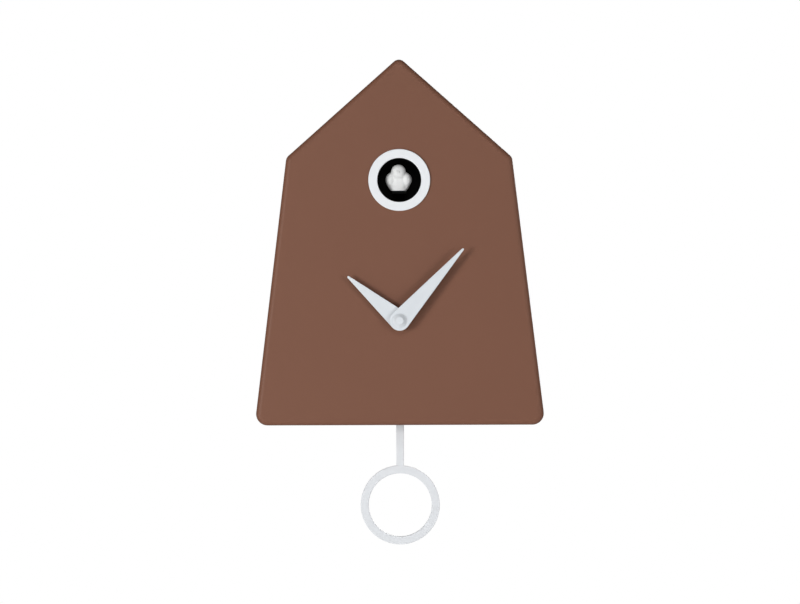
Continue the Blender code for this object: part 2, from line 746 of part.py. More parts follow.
def make_train():
    """The wheels that carry the motor's turns to the centre wheel, in mesh at rest."""
    centre = (0.0, 0.0)
    to_third = angle_to(centre, THIRD_PLACE)
    wheel = gear_outline(45, 0.4, to_third)
    hub = circle(2.6, 16)
    steps = [-66.8, (hub, -66.5), (wheel, -65.5), (hub, -65.2)]
    add_object("centre_wheel", stepped(steps, circle(1.8, 14)), "gear_nylon", at_shaft())

    arbor = circle(0.6, 8)
    pinion = gear_outline(6, 0.4, to_third + 180.0, gap=True)
    wheel = gear_outline(48, 0.3, angle_to(THIRD_PLACE, FOURTH_PLACE))
    steps = [-67.7, (arbor, -66.7), (pinion, -64.9), (wheel, -64.1), (arbor, -58.4)]
    add_object("third_wheel", stepped(steps), "gear_nylon", at_shaft(THIRD_PLACE))

    arbor = circle(0.45, 8)
    pinion = gear_outline(6, 0.3, angle_to(FOURTH_PLACE, THIRD_PLACE), gap=True)
    wheel = gear_outline(30, 0.3, angle_to(FOURTH_PLACE, FIFTH_PLACE))
    steps = [-67.7, (arbor, -65.2), (pinion, -63.3), (wheel, -62.5), (arbor, -58.4)]
    add_object("fourth_wheel", stepped(steps), "gear_nylon", at_shaft(FOURTH_PLACE))

    pinion = gear_outline(6, 0.3, angle_to(FIFTH_PLACE, FOURTH_PLACE), gap=True)
    wheel = gear_outline(36, 0.2, angle_to(FIFTH_PLACE, ROTOR_PLACE))
    steps = [-67.7, (arbor, -63.6), (pinion, -61.8), (wheel, -61.2), (arbor, -58.4)]
    add_object("fifth_wheel", stepped(steps), "gear_nylon", at_shaft(FIFTH_PLACE))

    arbor = circle(0.3, 8)
    pinion = gear_outline(6, 0.2, angle_to(ROTOR_PLACE, FIFTH_PLACE), gap=True)
    magnet = circle(2.2, 16)
    steps = [-67.7, (arbor, -62.2), (pinion, -60.8), (magnet, -59.2), (arbor, -58.4)]
    add_object("motor_rotor", stepped(steps), "steel", at_shaft(ROTOR_PLACE))


def make_stator():
    """A flat iron loop around the rotor, with the coil on its far limb."""
    rotor_x, rotor_z = ROTOR_PLACE
    limb_left, limb_right = 18.0, 20.6
    low, high = -4.0, 21.0
    sheet = 0.8
    front = -60.5
    outline = [
        (rotor_x - 4.6, rotor_z - 4.0),
        (rotor_x + 4.0, rotor_z - 4.6),
        (13.0, low),
        (limb_right, low),
        (limb_right, high),
        (12.0, high),
        (rotor_x - 2.0, rotor_z + 5.4),
    ]
    window = [(15.0, 0.0), (limb_left, 0.0), (limb_left, 17.0), (13.0, 17.0), (11.5, 8.0)]
    stator = pierced(outline, [circle(2.6, 16, ROTOR_PLACE), window], front, front + sheet)
    add_object("motor_stator", stator, "steel", at_shaft())
    coil = prism(rectangle(15.9, 22.7, 1.0, 16.0), -61.7, -58.5)
    winding = add_object("motor_coil", coil, "copper_wire", at_shaft())
    core = box(limb_left - GAP, limb_right + GAP, -60.8, -59.4, -2.0, 20.0)
    combine(winding, add_guide("coil_core", core, at_shaft()), "DIFFERENCE")


def make_hands():
    hour_front = FRONT - 6.0
    minute_front = FRONT - 9.2
    thickness = 1.0
    hour = hand_outline(HOUR_LENGTH, HAND_BOSS, 0.9, HOUR_ANGLE)
    hour_plate = pierced(hour, [circle(3.0, 16)], hour_front, hour_front + thickness)
    add_object("hour_hand", hour_plate, "hand_paint", at_shaft())
    minute = hand_outline(MINUTE_LENGTH, HAND_BOSS, 0.9, MINUTE_ANGLE)
    minute_plate = pierced(minute, [circle(1.8, 14)], minute_front, minute_front + thickness)
    add_object("minute_hand", minute_plate, "hand_paint", at_shaft())
    cap_back = minute_front - GAP
    profile = [
        (0.0, cap_back - 2.6),
        (2.9, cap_back - 2.6),
        (5.1, cap_back - 0.7),
        (5.5, cap_back - 0.5),
        (5.5, cap_back),
        (1.8, cap_back),
        (1.8, cap_back - 1.4),
        (0.0, cap_back - 1.4),
    ]
    add_object("hand_cap", turned(profile, 22), "hand_paint", at_shaft())


def make_set_knob():
    """The knob at the back of the arbor, sunk in its hole in the rear cover."""
    profile = [
        (0.0, -2.6),
        (7.8, -2.6),
        (8.5, -3.3),
        (8.5, -8.6),
        (3.0, -8.6),
        (3.0, -12.0),
        (1.8, -12.0),
        (1.8, -9.1),
        (0.0, -9.1),
    ]
    add_object("set_knob", turned(profile, 18), "black_plastic", at_shaft())


# Pendulum


def at_pivot():
    return (0.0, 0.0, PIVOT_HEIGHT)


def make_pendulum_mount():
    """A plate that stands on the case's bottom, with a boss, the pivot pin and the drive coil."""
    plate = box(-14.0, 14.0, -53.6, -52.1, WALL + GAP, 74.0)
    boss = cylinder(3.5, -52.6, -46.0, 14, (0.0, PIVOT_HEIGHT))
    bracket = add_joined("pendulum_bracket", [plate, boss], "black_plastic")
    pin_hole = cylinder(1.3, -56.0, -44.0, 12, (0.0, PIVOT_HEIGHT))
    combine(bracket, add_guide("pivot_pin_hole", pin_hole), "DIFFERENCE")
    head = 2.2
    profile = [(0.0, -35.0), (head, -35.0), (head, -36.0), (1.0, -36.0), (1.0, -52.0), (0.0, -52.0)]
    add_object("pendulum_pivot_pin", turned(profile, 12), "steel", at_pivot())
    coil = turned([(2.0, -51.8), (7.5, -51.8), (7.5, -47.6), (2.0, -47.6)], 20, (0.0, 46.0))
    add_object("pendulum_drive_coil", coil, "copper_wire")


def make_pendulum_hanger():
    """An eye on the pin, an arm down to a peg for the rod, and a seat for the magnet."""
    bottom = ROD_HOLE_HEIGHT - PIVOT_HEIGHT
    front, back = -39.0, -37.0
    arm = box(-3.0, 3.0, front, back, bottom - 3.0, 0.0)
    eye = cylinder(3.4, -41.5, back, 16)
    peg = cylinder(1.2, -42.3, front + 0.5, 10, (0.0, bottom))
    hanger = add_joined("pendulum_hanger", [arm, eye, peg], "steel", at_pivot())
    pin_hole = cylinder(1.3, -50.0, -30.0, 12)
    combine(hanger, add_guide("hanger_eye_hole", pin_hole, at_pivot()), "DIFFERENCE")
    magnet = cylinder(4.5, -44.5, front - GAP, 16, (0.0, 46.0 - PIVOT_HEIGHT))
    add_object("pendulum_magnet", magnet, "steel", at_pivot())


def make_pendulum_rod():
    """A flat rod that hooks onto the hanger's peg and narrows towards the ring."""
    top = ROD_HOLE_HEIGHT - PIVOT_HEIGHT + 4.0
    bottom = PENDULUM_RING_HEIGHT + PENDULUM_RING_OUTER + GAP - PIVOT_HEIGHT
    outline = [(-3.0, bottom), (3.0, bottom), (3.3, top - 3.3)]
    outline += arc(3.3, 15, 165, 8, (0.0, top - 3.3))
    outline.append((-3.3, top - 3.3))
    hole = circle(1.5, 10, (0.0, ROD_HOLE_HEIGHT - PIVOT_HEIGHT))
    front = PENDULUM_Y - PENDULUM_THICKNESS
    rod = pierced(outline, [hole], front + 0.4, front + 0.4 + PENDULUM_THICKNESS)
    add_object("pendulum_rod", rod, "white_plastic", at_pivot())


def make_pendulum_ring():
    """The flat ring at the rod's end."""
    front = PENDULUM_Y - PENDULUM_THICKNESS + 0.4
    back = front + PENDULUM_THICKNESS
    profile = [
        (PENDULUM_RING_INNER, back),
        (PENDULUM_RING_OUTER, back),
        (PENDULUM_RING_OUTER, front),
        (PENDULUM_RING_INNER, front),
    ]
    centre = (0.0, PENDULUM_RING_HEIGHT - PIVOT_HEIGHT)
    add_object("pendulum_ring", turned(profile, 56, centre), "white_plastic", at_pivot())


# Sound


def make_speaker():
    place = (SPEAKER_PLACE[0], 0.0, SPEAKER_PLACE[1])
    frame = [
        (25.0, -6.0),
        (25.0, -7.6),
        (24.0, -7.6),
        (13.4, -16.0),
        (13.4, -17.4),
        (7.0, -17.4),
        (7.0, -16.4),
        (12.2, -16.4),
        (12.2, -15.6),
        (22.6, -7.6),
        (22.6, -6.0),
    ]
    add_object("speaker_frame", turned(frame, 20), "steel", place)
    cone = [(0.0, -10.8), (5.0, -12.2), (21.6, -6.4), (21.6, -7.0), (6.0, -13.4), (0.0, -13.4)]
    add_object("speaker_cone", turned(cone, 20), "cone_paper", place)
    magnet = [(0.0, -17.7), (12.0, -17.7), (12.0, -24.5), (0.0, -24.5)]
    add_object("speaker_magnet", turned(magnet, 20), "steel", place)


def make_circuit_board():
    """The board with a potentiometer, a slide switch, a chip and two tall parts on it."""
    volume_x, volume_z = VOLUME_PLACE
    switch_x, switch_z = SWITCH_PLACE
    root = BOARD_BACK - 0.5
    shapes = [
        box(-66.0, -22.0, BOARD_FRONT, BOARD_BACK, 95.0, 150.0),
        box(volume_x - 6, volume_x + 6, root, -9.6, volume_z - 6, volume_z + 6),
        box(switch_x - 7, switch_x + 7, root, -8.2, switch_z - 3, switch_z + 3),
        box(-38.0, -28.0, root, -12.0, 124.0, 140.0),
        cylinder(3.0, root, -7.0, 12, (-60.0, 104.0)),
        cylinder(2.5, root, -8.0, 12, (-28.0, 104.0)),
    ]
    add_joined("circuit_board", shapes, "board_green")


def make_volume_knob():
    profile = [(0.0, -2.6), (6.4, -2.6), (7.0, -3.2), (7.0, -7.6), (2.5, -7.6), (2.5, -9.3), (0.0, -9.3)]
    place = (VOLUME_PLACE[0], 0.0, VOLUME_PLACE[1])
    knob = add_object("volume_knob", turned(profile, 20), "black_plastic", place)
    mark = box(-0.5, 0.5, -4.0, 0.0, 2.0, 9.0)
    combine(knob, add_guide("volume_knob_mark", mark, place), "DIFFERENCE")


def make_mode_switch():
    shapes = [box(-2.0, 2.0, -7.0, -2.4, -2.0, 2.0), box(-4.5, 4.5, -7.9, -6.2, -2.7, 2.7)]
    place = (SWITCH_PLACE[0], 0.0, SWITCH_PLACE[1])
    add_joined("mode_switch", shapes, "black_plastic", place)


# Power


def make_battery_tray():
    """A tray behind the battery door, open to the back."""
    half_width, low, high = 33.0, 12.5, 51.5
    wall = 1.5
    depth_front = -22.0
    outer = rounded(rectangle(-half_width, half_width, low, high), [2.0] * 4, 2)
    inner = rounded(rectangle(wall - half_width, half_width - wall, low + wall, high - wall), [1.0] * 4, 2)
    add_object("battery_tray", tray(outer, inner, depth_front, COVER_FRONT - GAP, wall), "black_plastic")


def make_cells():
    """Two round cells side by side, the lower one with its plus end to the right."""
    half = 24.4
    nub = 25.6
    profile = [
        (0.0, -half),
        (CELL_RADIUS, -half),
        (CELL_RADIUS, half - 0.4),
        (CELL_RADIUS - 0.4, half),
        (2.7, half),
        (2.7, nub),
        (0.0, nub),
    ]
    for number, height in enumerate(CELL_HEIGHTS, start=1):
        turn = ALONG_X if number == 1 else (0.0, 0.0, pi / 2)
        place = (0.0, CELL_Y, height)
        add_object(f"battery_cell_{number}", turned(profile, 20), "cell_sleeve", place, turn)


def contact_cone(height, side, near, near_radius, far_radius):
    """A cone that stands on a contact sheet and narrows towards the cell; side is -1 or 1."""
    sheet_face = 30.9
    cone = turned([(0.0, near), (near_radius, near), (far_radius, sheet_face), (0.0, sheet_face)], 12)
    turn = Matrix.Rotation(-side * pi / 2, 4, "Z")
    bmesh.ops.transform(cone, matrix=Matrix.Translation((0.0, CELL_Y, height)) @ turn, verts=cone.verts)
    return cone


def contact_spring(height, side):
    """The closed cone of a spring that presses on a cell's flat end."""
    return contact_cone(height, side, 24.8, 2.2, 4.6)


def contact_stop(height, side):
    """The raised spot that meets a cell's nub."""
    return contact_cone(height, side, 26.0, 2.6, 3.2)


def contact_sheet(side, low, high):
    near, far = sorted((side * 30.6, side * 31.2))
    return box(near, far, -19.8, -7.0, low, high)


def make_contacts():
    low, high = CELL_HEIGHTS
    half = 6.0
    minus = [contact_sheet(-1, low - half, low + half), contact_spring(low, -1)]
    add_joined("battery_contact_minus", minus, "steel")
    plus = [contact_sheet(-1, high - half, high + half), contact_stop(high, -1)]
    add_joined("battery_contact_plus", plus, "steel")
    bridge = [contact_sheet(1, low - half, high + half), contact_stop(low, 1), contact_spring(high, 1)]
    add_joined("battery_contact_bridge", bridge, "steel")


def make_battery_door():
    """A flap hinged on its rounded lower edge; its outline lies across X."""
    front = -DOOR_EDGE_RADIUS
    back = DOOR_EDGE_RADIUS
    top = DOOR_TOP - DOOR_HINGE_HEIGHT
    outline = arc(DOOR_EDGE_RADIUS, 180, 360, 8) + [(back, top), (front, top)]
    door = across_x(outline, -DOOR_HALF_WIDTH, DOOR_HALF_WIDTH)
    add_object("battery_door", door, "brown_plastic", (0.0, DOOR_HINGE_Y, DOOR_HINGE_HEIGHT))


# Wires


def smooth_route(points, steps=3):
    """Catmull-Rom points through the route's own points."""
    ends = [points[0] * 2 - points[1], *points, points[-1] * 2 - points[-2]]
    route = []
    for before, start, end, after in zip(ends, ends[1:], ends[2:], ends[3:]):
        for k in range(steps):
            t = k / steps
            bend = (before * 2 - start * 5 + end * 4 - after) * t * t
            swing = (start * 3 - before - end * 3 + after) * t * t * t
            route.append((start * 2 + (end - before) * t + bend + swing) / 2)
    return [*route, points[-1]]


def add_wire(name, points, finish, radius=0.8):
    route = smooth_route([Vector(point) * MM for point in points])
    curve = bpy.data.curves.new(name, "CURVE")
    curve.dimensions = "3D"
    curve.bevel_depth = radius * MM
    curve.bevel_resolution = 1
    curve.use_fill_caps = True
    curve.materials.append(finish_material(finish))
    spline = curve.splines.new("POLY")
    spline.points.add(len(route) - 1)
    for target, point in zip(spline.points, route):
        target.co = (*point, 1.0)
    wire = bpy.data.objects.new(name, curve)
    wire.parent = CLOCK_FRAME
    bpy.context.collection.objects.link(wire)


def make_wires():
    motor_z = motor_height()
    board_wire_y = BOARD_FRONT - 0.8
    battery = [(-34.0, -16.0, 42.0), (-42.0, -18.0, 46.0), (-54.0, -24.0, 66.0), (-56.0, -22.0, 90.0)]
    battery += [(-56.0, -19.0, 99.0), (-56.0, board_wire_y, 101.0)]
    add_wire("wire_battery", battery, "wire_red")
    speaker = [(-26.0, board_wire_y, 120.0), (-22.0, -21.0, 121.0), (-4.0, -28.0, 124.0)]
    speaker += [(18.0, -28.0, 125.0), (29.0, -22.0, 126.0), (31.6, -20.0, 127.0)]
    add_wire("wire_speaker", speaker, "black_plastic")
    motor = [(-40.0, board_wire_y, 145.0), (-41.0, -21.0, 146.5), (-38.0, -30.0, 154.0)]
    motor += [(-31.0, DRIVE_GEAR_Y, motor_z), (-25.4, DRIVE_GEAR_Y, motor_z)]
    add_wire("wire_bird_motor", motor, "wire_red")
    movement = [(-40.0, board_wire_y, 99.0), (-38.0, -22.0, 96.0), (-30.0, -44.0, 84.0)]
    movement += [(-24.0, -53.0, 78.0), (-20.0, MOVEMENT_BACK + 1.0, 77.0)]
    add_wire("wire_movement", movement, "black_plastic")


clear_scene()
CLOCK_FRAME = make_frame()
make_front_shell()
make_rear_cover()
make_cover_screws()
make_window_ring()
make_bird_tunnel()
make_bird()
make_bird_carriage()
make_bird_drive_gear()
make_bird_motor()
make_bird_bracket()
make_movement_cases()
make_middle_plate()
make_nut_and_washer()
make_motion_works()
make_train()
make_stator()
make_hands()
make_set_knob()
make_pendulum_mount()
make_pendulum_hanger()
make_pendulum_rod()
make_pendulum_ring()
make_speaker()
make_circuit_board()
make_volume_knob()
make_mode_switch()
make_battery_tray()
make_cells()
make_contacts()
make_battery_door()
make_wires()
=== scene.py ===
"""The looks of a battery cuckoo clock: fine pieces, materials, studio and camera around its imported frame.

Shapes are written in the clock's own millimetres, as X to the viewer's right, Y from the front
face (negative) to the wall (0), and Z up from the bottom of the case. add_piece turns them into
metres in the frame.
"""

import json
from math import acos, asin, cos, degrees, pi, radians, sin, sqrt, tan

import bmesh
import bpy
from mathutils import Matrix, Vector


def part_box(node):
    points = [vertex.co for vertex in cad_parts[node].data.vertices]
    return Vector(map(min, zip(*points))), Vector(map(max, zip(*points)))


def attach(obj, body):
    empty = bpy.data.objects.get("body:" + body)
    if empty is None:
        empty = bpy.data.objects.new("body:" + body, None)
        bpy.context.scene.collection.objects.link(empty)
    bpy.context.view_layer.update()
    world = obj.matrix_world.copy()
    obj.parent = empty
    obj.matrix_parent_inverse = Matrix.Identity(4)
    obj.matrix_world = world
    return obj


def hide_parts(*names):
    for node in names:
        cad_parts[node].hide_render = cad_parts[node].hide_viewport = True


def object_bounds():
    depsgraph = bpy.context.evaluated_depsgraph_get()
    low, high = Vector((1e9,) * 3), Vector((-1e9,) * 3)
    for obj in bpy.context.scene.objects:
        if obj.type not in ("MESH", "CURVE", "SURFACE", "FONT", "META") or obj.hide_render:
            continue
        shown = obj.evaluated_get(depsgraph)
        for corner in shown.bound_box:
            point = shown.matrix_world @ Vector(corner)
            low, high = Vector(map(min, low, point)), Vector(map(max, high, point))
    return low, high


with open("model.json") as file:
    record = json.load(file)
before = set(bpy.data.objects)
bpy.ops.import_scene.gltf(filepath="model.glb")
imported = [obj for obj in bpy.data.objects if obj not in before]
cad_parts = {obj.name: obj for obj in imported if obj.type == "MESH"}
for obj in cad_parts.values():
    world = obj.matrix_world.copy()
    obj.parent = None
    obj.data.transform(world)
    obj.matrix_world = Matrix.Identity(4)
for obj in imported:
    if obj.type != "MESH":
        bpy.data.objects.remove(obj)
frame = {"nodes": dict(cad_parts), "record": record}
CAD_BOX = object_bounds()

MM = 0.001
RECORD = frame["record"]
BODY_OF = {node: body for body, nodes in RECORD["behaviour"]["bodies"].items() for node in nodes}
SLOT_OF = {part["node"]: part["material_slot"] for part in RECORD["subparts"]}
TO_FRAME = Matrix.Translation((0.0, 0.0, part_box("front_shell")[0].z)) @ Matrix.Scale(MM, 4)


def node_centre(node):
    """The middle of a CAD node in the clock's millimetres, as (x, z)."""
    low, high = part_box(node)
    middle = TO_FRAME.inverted() @ ((low + high) / 2)
    return middle.x, middle.z


def node_span(node):
    """The lowest and highest corner of a CAD node in the clock's millimetres."""
    back = TO_FRAME.inverted()
    low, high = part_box(node)
    return back @ low, back @ high


# Case
BOTTOM_HALF_WIDTH = 116.2
EAVE_HALF_WIDTH = 90.3
EAVE_HEIGHT = 214.0
APEX_HEIGHT = 294.2
CORNER_RADII = (9.2, 9.2, 6.5, 6.0, 6.5)
FRONT = -76.0
WALL = 2.5
INSIDE_FRONT = FRONT + WALL
EDGE_FILLET = 4.5
KEYHOLE_HEIGHT = 255.0
COVER_BACK = -3.0
COVER_FRONT = -5.5
COVER_GAP = 0.4
GAP = 0.3
COVER_SCREWS = ((0.0, 276.0), (78.0, 207.0), (-78.0, 207.0), (102.0, 12.0), (-102.0, 12.0))
BOSS_RADIUS = 4.0
PILOT_RADIUS = 1.8
SLOT_HALF_WIDTH = 14.0
PENDULUM_Y = -40.0
PENDULUM_RING_INNER = 25.55
ROD_HOLE_HEIGHT = 34.0

# Window and bird
WINDOW_HEIGHT = node_centre("window_ring")[1]
RING_INNER = 17.55
TUNNEL_OUTER = 19.0
TUNNEL_INNER = 17.7
TUNNEL_BACK = -46.0
CARRIAGE_TOP = -8.4
BEAM_HALF_WIDTH = 4.5
BRACKET_SCREWS = ((-16.0, -45.0), (20.0, -45.0))
BRACKET_FRONT = -44.6
BRACKET_THICKNESS = 1.3

# Hands
SHAFT_HEIGHT = node_centre("centre_arbor")[1]
MINUTE_ANGLE = 41.7
HOUR_ANGLE = -49.5
MINUTE_LENGTH = 76.5
HOUR_LENGTH = 54.4
HAND_BOSS = 8.0
HAND_TIP = 0.9

# Back and inside
MARK_ROOT = COVER_BACK - 0.4
MARK_TOP = COVER_BACK + 0.4
KNOB_HOLE_RADIUS = 9.2
VOLUME_HOLE_RADIUS = 7.5
BOARD_FRONT = -15.6
BOARD_BACK = -14.0
SPEAKER_PLACE = node_centre("speaker_frame")
VOLUME_PLACE = node_centre("volume_knob")
SWITCH_PLACE = node_centre("mode_switch")
DOOR_HALF_WIDTH = 31.1
DOOR_TOP = 49.6
DOOR_HINGE_Y = -4.2
DOOR_HINGE_HEIGHT = 15.5
CELL_RADIUS = 7.0
CELL_Y = -13.2
CELL_HEIGHTS = (21.6, 42.4)
CONTACT_SHEET_X = 30.6

ALONG_X = Matrix.Rotation(-pi / 2, 4, "Z")
SWAP_XY = Matrix(((0, 1, 0), (1, 0, 0), (0, 0, 1))).to_4x4()
SWAP_YZ = Matrix(((1, 0, 0), (0, 0, 1), (0, 1, 0))).to_4x4()


# Outlines, each a list of (x, z)


def circle(radius, segments, centre=(0.0, 0.0)):
    angles = [2 * pi * k / segments for k in range(segments)]
    return [(centre[0] + radius * cos(a), centre[1] + radius * sin(a)) for a in angles]


def arc(radius, first, last, segments, centre=(0.0, 0.0)):
    """Points from one angle to another, in degrees, with both ends."""
    angles = [radians(first + (last - first) * k / segments) for k in range(segments + 1)]
    return [(centre[0] + radius * cos(a), centre[1] + radius * sin(a)) for a in angles]


def rectangle(left, right, low, high):
    return [(left, low), (right, low), (right, high), (left, high)]


def corner_frame(corners, index):
    """A corner, its inward bisector, the direction along the edge before it, and half its angle."""
    corner = Vector(corners[index])
    before = (Vector(corners[index - 1]) - corner).normalized()
    after = (Vector(corners[(index + 1) % len(corners)]) - corner).normalized()
    half_angle = before.angle(after) / 2
    return corner, (before + after).normalized(), before, half_angle


def rounded(corners, radii, segments):
    """The outline of a convex polygon whose corners are arcs."""
    points = []
    for index, radius in enumerate(radii):
        corner, inward, before, half_angle = corner_frame(corners, index)
        centre = corner + inward * radius / sin(half_angle)
        spoke = corner + before * radius / tan(half_angle) - centre
        sweep = pi - 2 * half_angle
        for k in range(segments + 1):
            point = centre + Matrix.Rotation(sweep * k / segments, 2) @ spoke
            points.append((point.x, point.y))
    return points


def house(inset):
    """The case's outline, moved inwards by inset."""
    corners = [
        (-BOTTOM_HALF_WIDTH, 0.0),
        (BOTTOM_HALF_WIDTH, 0.0),
        (EAVE_HALF_WIDTH, EAVE_HEIGHT),
        (0.0, APEX_HEIGHT),
        (-EAVE_HALF_WIDTH, EAVE_HEIGHT),
    ]
    moved_in = []
    for index in range(len(corners)):
        corner, inward, _, half_angle = corner_frame(corners, index)
        moved_in.append(corner + inward * inset / sin(half_angle))
    least_radius = 0.8
    return rounded(moved_in, [max(radius - inset, least_radius) for radius in CORNER_RADII], 14)


def hand_outline(length, angle, inset):
    """A round boss and a small tip joined by tangents, pointing angle degrees clockwise of up."""
    lean = degrees(asin((HAND_BOSS - HAND_TIP) / length))
    around_boss = arc(HAND_BOSS - inset, 180 - lean, 360 + lean, 64)
    around_tip = arc(HAND_TIP - inset, lean, 180 - lean, 12, (0.0, length - HAND_TIP))
    turn = Matrix.Rotation(-radians(angle), 2)
    return [tuple(turn @ Vector(point)) for point in around_boss + around_tip]


def keyhole_outline(widen=0.0):
    """A round entry below a narrow slot whose top carries the screw."""
    slot_radius = 2.3 + widen
    entry_radius = 5.0 + widen
    side = degrees(acos(slot_radius / entry_radius))
    top = arc(slot_radius, 0, 180, 16, (0.0, KEYHOLE_HEIGHT))
    return top + arc(entry_radius, 180 - side, 360 + side, 40, (0.0, KEYHOLE_HEIGHT - 10.0))


def ribbed_outline(radius, depth, ribs, inset):
    """A circle with shallow round ribs for the fingers."""
    steps = 8
    points = []
    for k in range(ribs * steps):
        angle = 2 * pi * k / (ribs * steps)
        reach = radius - inset - depth * (0.5 - 0.5 * cos(ribs * angle))
        points.append((reach * cos(angle), reach * sin(angle)))
    return points


def quarter_round(radius, steps):
    """A rounded edge as points of (inset, depth), from the flat face to the side."""
    angles = [pi / 2 * k / steps for k in range(steps + 1)]
    return [(radius * (1 - sin(a)), radius * (1 - cos(a))) for a in angles]


def softened(profile, radius, steps=4):
    """A profile of (radius, y) whose corners are arcs; points on the axis stay sharp."""
    points = []
    for index, place in enumerate(profile):
        corner = Vector(place)
        before = Vector(profile[index - 1]) - corner
        after = Vector(profile[(index + 1) % len(profile)]) - corner
        half_angle = before.angle(after, pi) / 2
        if place[0] == 0.0 or half_angle > radians(86):
            points.append(place)
            continue
        reach = min(radius / tan(half_angle), 0.45 * min(before.length, after.length))
        inward = (before.normalized() + after.normalized()).normalized()
        arc_radius = reach * tan(half_angle)
        centre = corner + inward * arc_radius / sin(half_angle)
        first = corner + before.normalized() * reach - centre
        last = corner + after.normalized() * reach - centre
        for k in range(steps + 1):
            spoke = first.slerp(last, k / steps).normalized() * arc_radius
            points.append(tuple(centre + spoke))
    return points


# Solids in millimetres


def ring_of_vertices(shape, outline, y):
    return [shape.verts.new((x, y, z)) for x, z in outline]


def bridge(shape, first, second):
    count = len(first)
    for k in range(count):
        after = (k + 1) % count
        shape.faces.new((first[k], first[after], second[after], second[k]))


def loft(sections):
    """A solid through (outline, y) sections of equal counts, closed by the first and the last."""
    shape = bmesh.new()
    rings = [ring_of_vertices(shape, outline, y) for outline, y in sections]
    for first, second in zip(rings, rings[1:]):
        bridge(shape, first, second)
    shape.faces.new(rings[0])
    shape.faces.new(rings[-1])
    return shape


def prism(outline, front, back):
    return loft([(outline, front), (outline, back)])


def fill_between(shape, rings):
    """Faces of the plane region bounded by one ring and the rings inside it."""
    edges = []
    for ring in rings:
        for k, vertex in enumerate(ring):
            pair = (vertex, ring[(k + 1) % len(ring)])
            edges.append(shape.edges.get(pair) or shape.edges.new(pair))
    bmesh.ops.triangle_fill(shape, use_beauty=True, edges=edges)


def pierced(outline, holes, front, back):
    """A plate with holes right through it."""
    shape = bmesh.new()
    front_rings = [ring_of_vertices(shape, loop, front) for loop in [outline, *holes]]
    back_rings = [ring_of_vertices(shape, loop, back) for loop in [outline, *holes]]
    for first, second in zip(front_rings, back_rings):
        bridge(shape, first, second)
    fill_between(shape, front_rings)
    fill_between(shape, back_rings)
    return shape


def soft_plate(outline_of, front, back, radius, hole=None):
    """A plate with rounded edges; outline_of(inset) gives its outline."""
    levels = [(inset, front + depth) for inset, depth in quarter_round(radius, 5)]
    levels += [(inset, front + back - y) for inset, y in reversed(levels)]
    shape = bmesh.new()
    rings = [ring_of_vertices(shape, outline_of(inset), y) for inset, y in levels]
    for first, second in zip(rings, rings[1:]):
        bridge(shape, first, second)
    if not hole:
        shape.faces.new(rings[0])
        shape.faces.new(rings[-1])
        return shape
    hole_rings = [ring_of_vertices(shape, hole, y) for y in (front, back)]
    bridge(shape, *hole_rings)
    fill_between(shape, [rings[0], hole_rings[0]])
    fill_between(shape, [rings[-1], hole_rings[1]])
    return shape


def turned(profile, segments, centre=(0.0, 0.0)):
    """A profile of (radius, y) spun about the Y axis; an end off the axis closes onto the start."""
    shape = bmesh.new()
    rings = []
    for radius, y in profile:
        if radius == 0.0:
            rings.append([shape.verts.new((centre[0], y, centre[1]))])
        else:
            rings.append(ring_of_vertices(shape, circle(radius, segments, centre), y))
    pairs = list(zip(rings, rings[1:]))
    if profile[0][0] > 0.0:
        pairs.append((rings[-1], rings[0]))
    for first, second in pairs:
        if len(first) == len(second):
            bridge(shape, first, second)
            continue
        tip, rim = sorted((first, second), key=len)
        for k in range(segments):
            shape.faces.new((tip[0], rim[(k + 1) % segments], rim[k]))
    return shape


def flat_ring(node, inner, edge_radius, segments):
    """A flat ring with rounded edges, in the place of a CAD node."""
    low, high = node_span(node)
    outer = (high.x - low.x) / 2
    profile = [(inner, high.y), (outer, high.y), (outer, low.y), (inner, low.y)]
    return turned(softened(profile, edge_radius, 6), segments, (0.0, (low.z + high.z) / 2))


def across_x(side, left, right):
    """A solid whose outline of (y, z) points lies across the X axis."""
    return moved(prism(side, left, right), SWAP_XY)


def soft_box(left, right, front, back, low, high, radius=0.3, steps=3):
    """A box with rounded edges."""
    shape = prism(rectangle(left, right, low, high), front, back)
    bmesh.ops.bevel(shape, geom=shape.edges[:], offset=radius, segments=steps, profile=0.5, affect="EDGES")
    return shape


def cylinder(radius, front, back, segments=32, centre=(0.0, 0.0)):
    return prism(circle(radius, segments, centre), front, back)


def ball(radii, centre, segments=32, rings=20, power=2.0):
    """An ellipsoid; a power above 2 flattens its sides and tightens its turns."""
    shape = bmesh.new()
    bmesh.ops.create_uvsphere(shape, u_segments=segments, v_segments=rings, radius=1.0)
    for vertex in shape.verts:
        vertex.co = vertex.co / sum(abs(value) ** power for value in vertex.co) ** (1 / power)
    bmesh.ops.scale(shape, vec=radii, verts=shape.verts)
    bmesh.ops.translate(shape, vec=centre, verts=shape.verts)
    return shape


def mesh_of(shape, name):
    """A mesh with outward faces, made from a shape that is used up."""
    bmesh.ops.recalc_face_normals(shape, faces=shape.faces)
    mesh = bpy.data.meshes.new(name)
    shape.to_mesh(mesh)
    shape.free()
    return mesh


def linked(name, data):
    """A new object in the scene around its data, such as a mesh or a light."""
    obj = bpy.data.objects.new(name, data)
    bpy.context.scene.collection.objects.link(obj)
    return obj


def scratch_object(shape):
    """A temporary object around a shape, which is used up."""
    return linked("scratch", mesh_of(shape, "scratch"))


def taken_back(obj, *helpers):
    """The shape of a temporary object with its modifiers applied; the objects are removed."""
    bpy.context.view_layer.update()
    evaluated = obj.evaluated_get(bpy.context.evaluated_depsgraph_get())
    shape = bmesh.new()
    shape.from_mesh(evaluated.to_mesh())
    evaluated.to_mesh_clear()
    for scratch in (obj, *helpers):
        data = scratch.data
        bpy.data.objects.remove(scratch)
        if isinstance(data, bpy.types.Mesh):
            bpy.data.meshes.remove(data)
        else:
            bpy.data.curves.remove(data)
    return shape


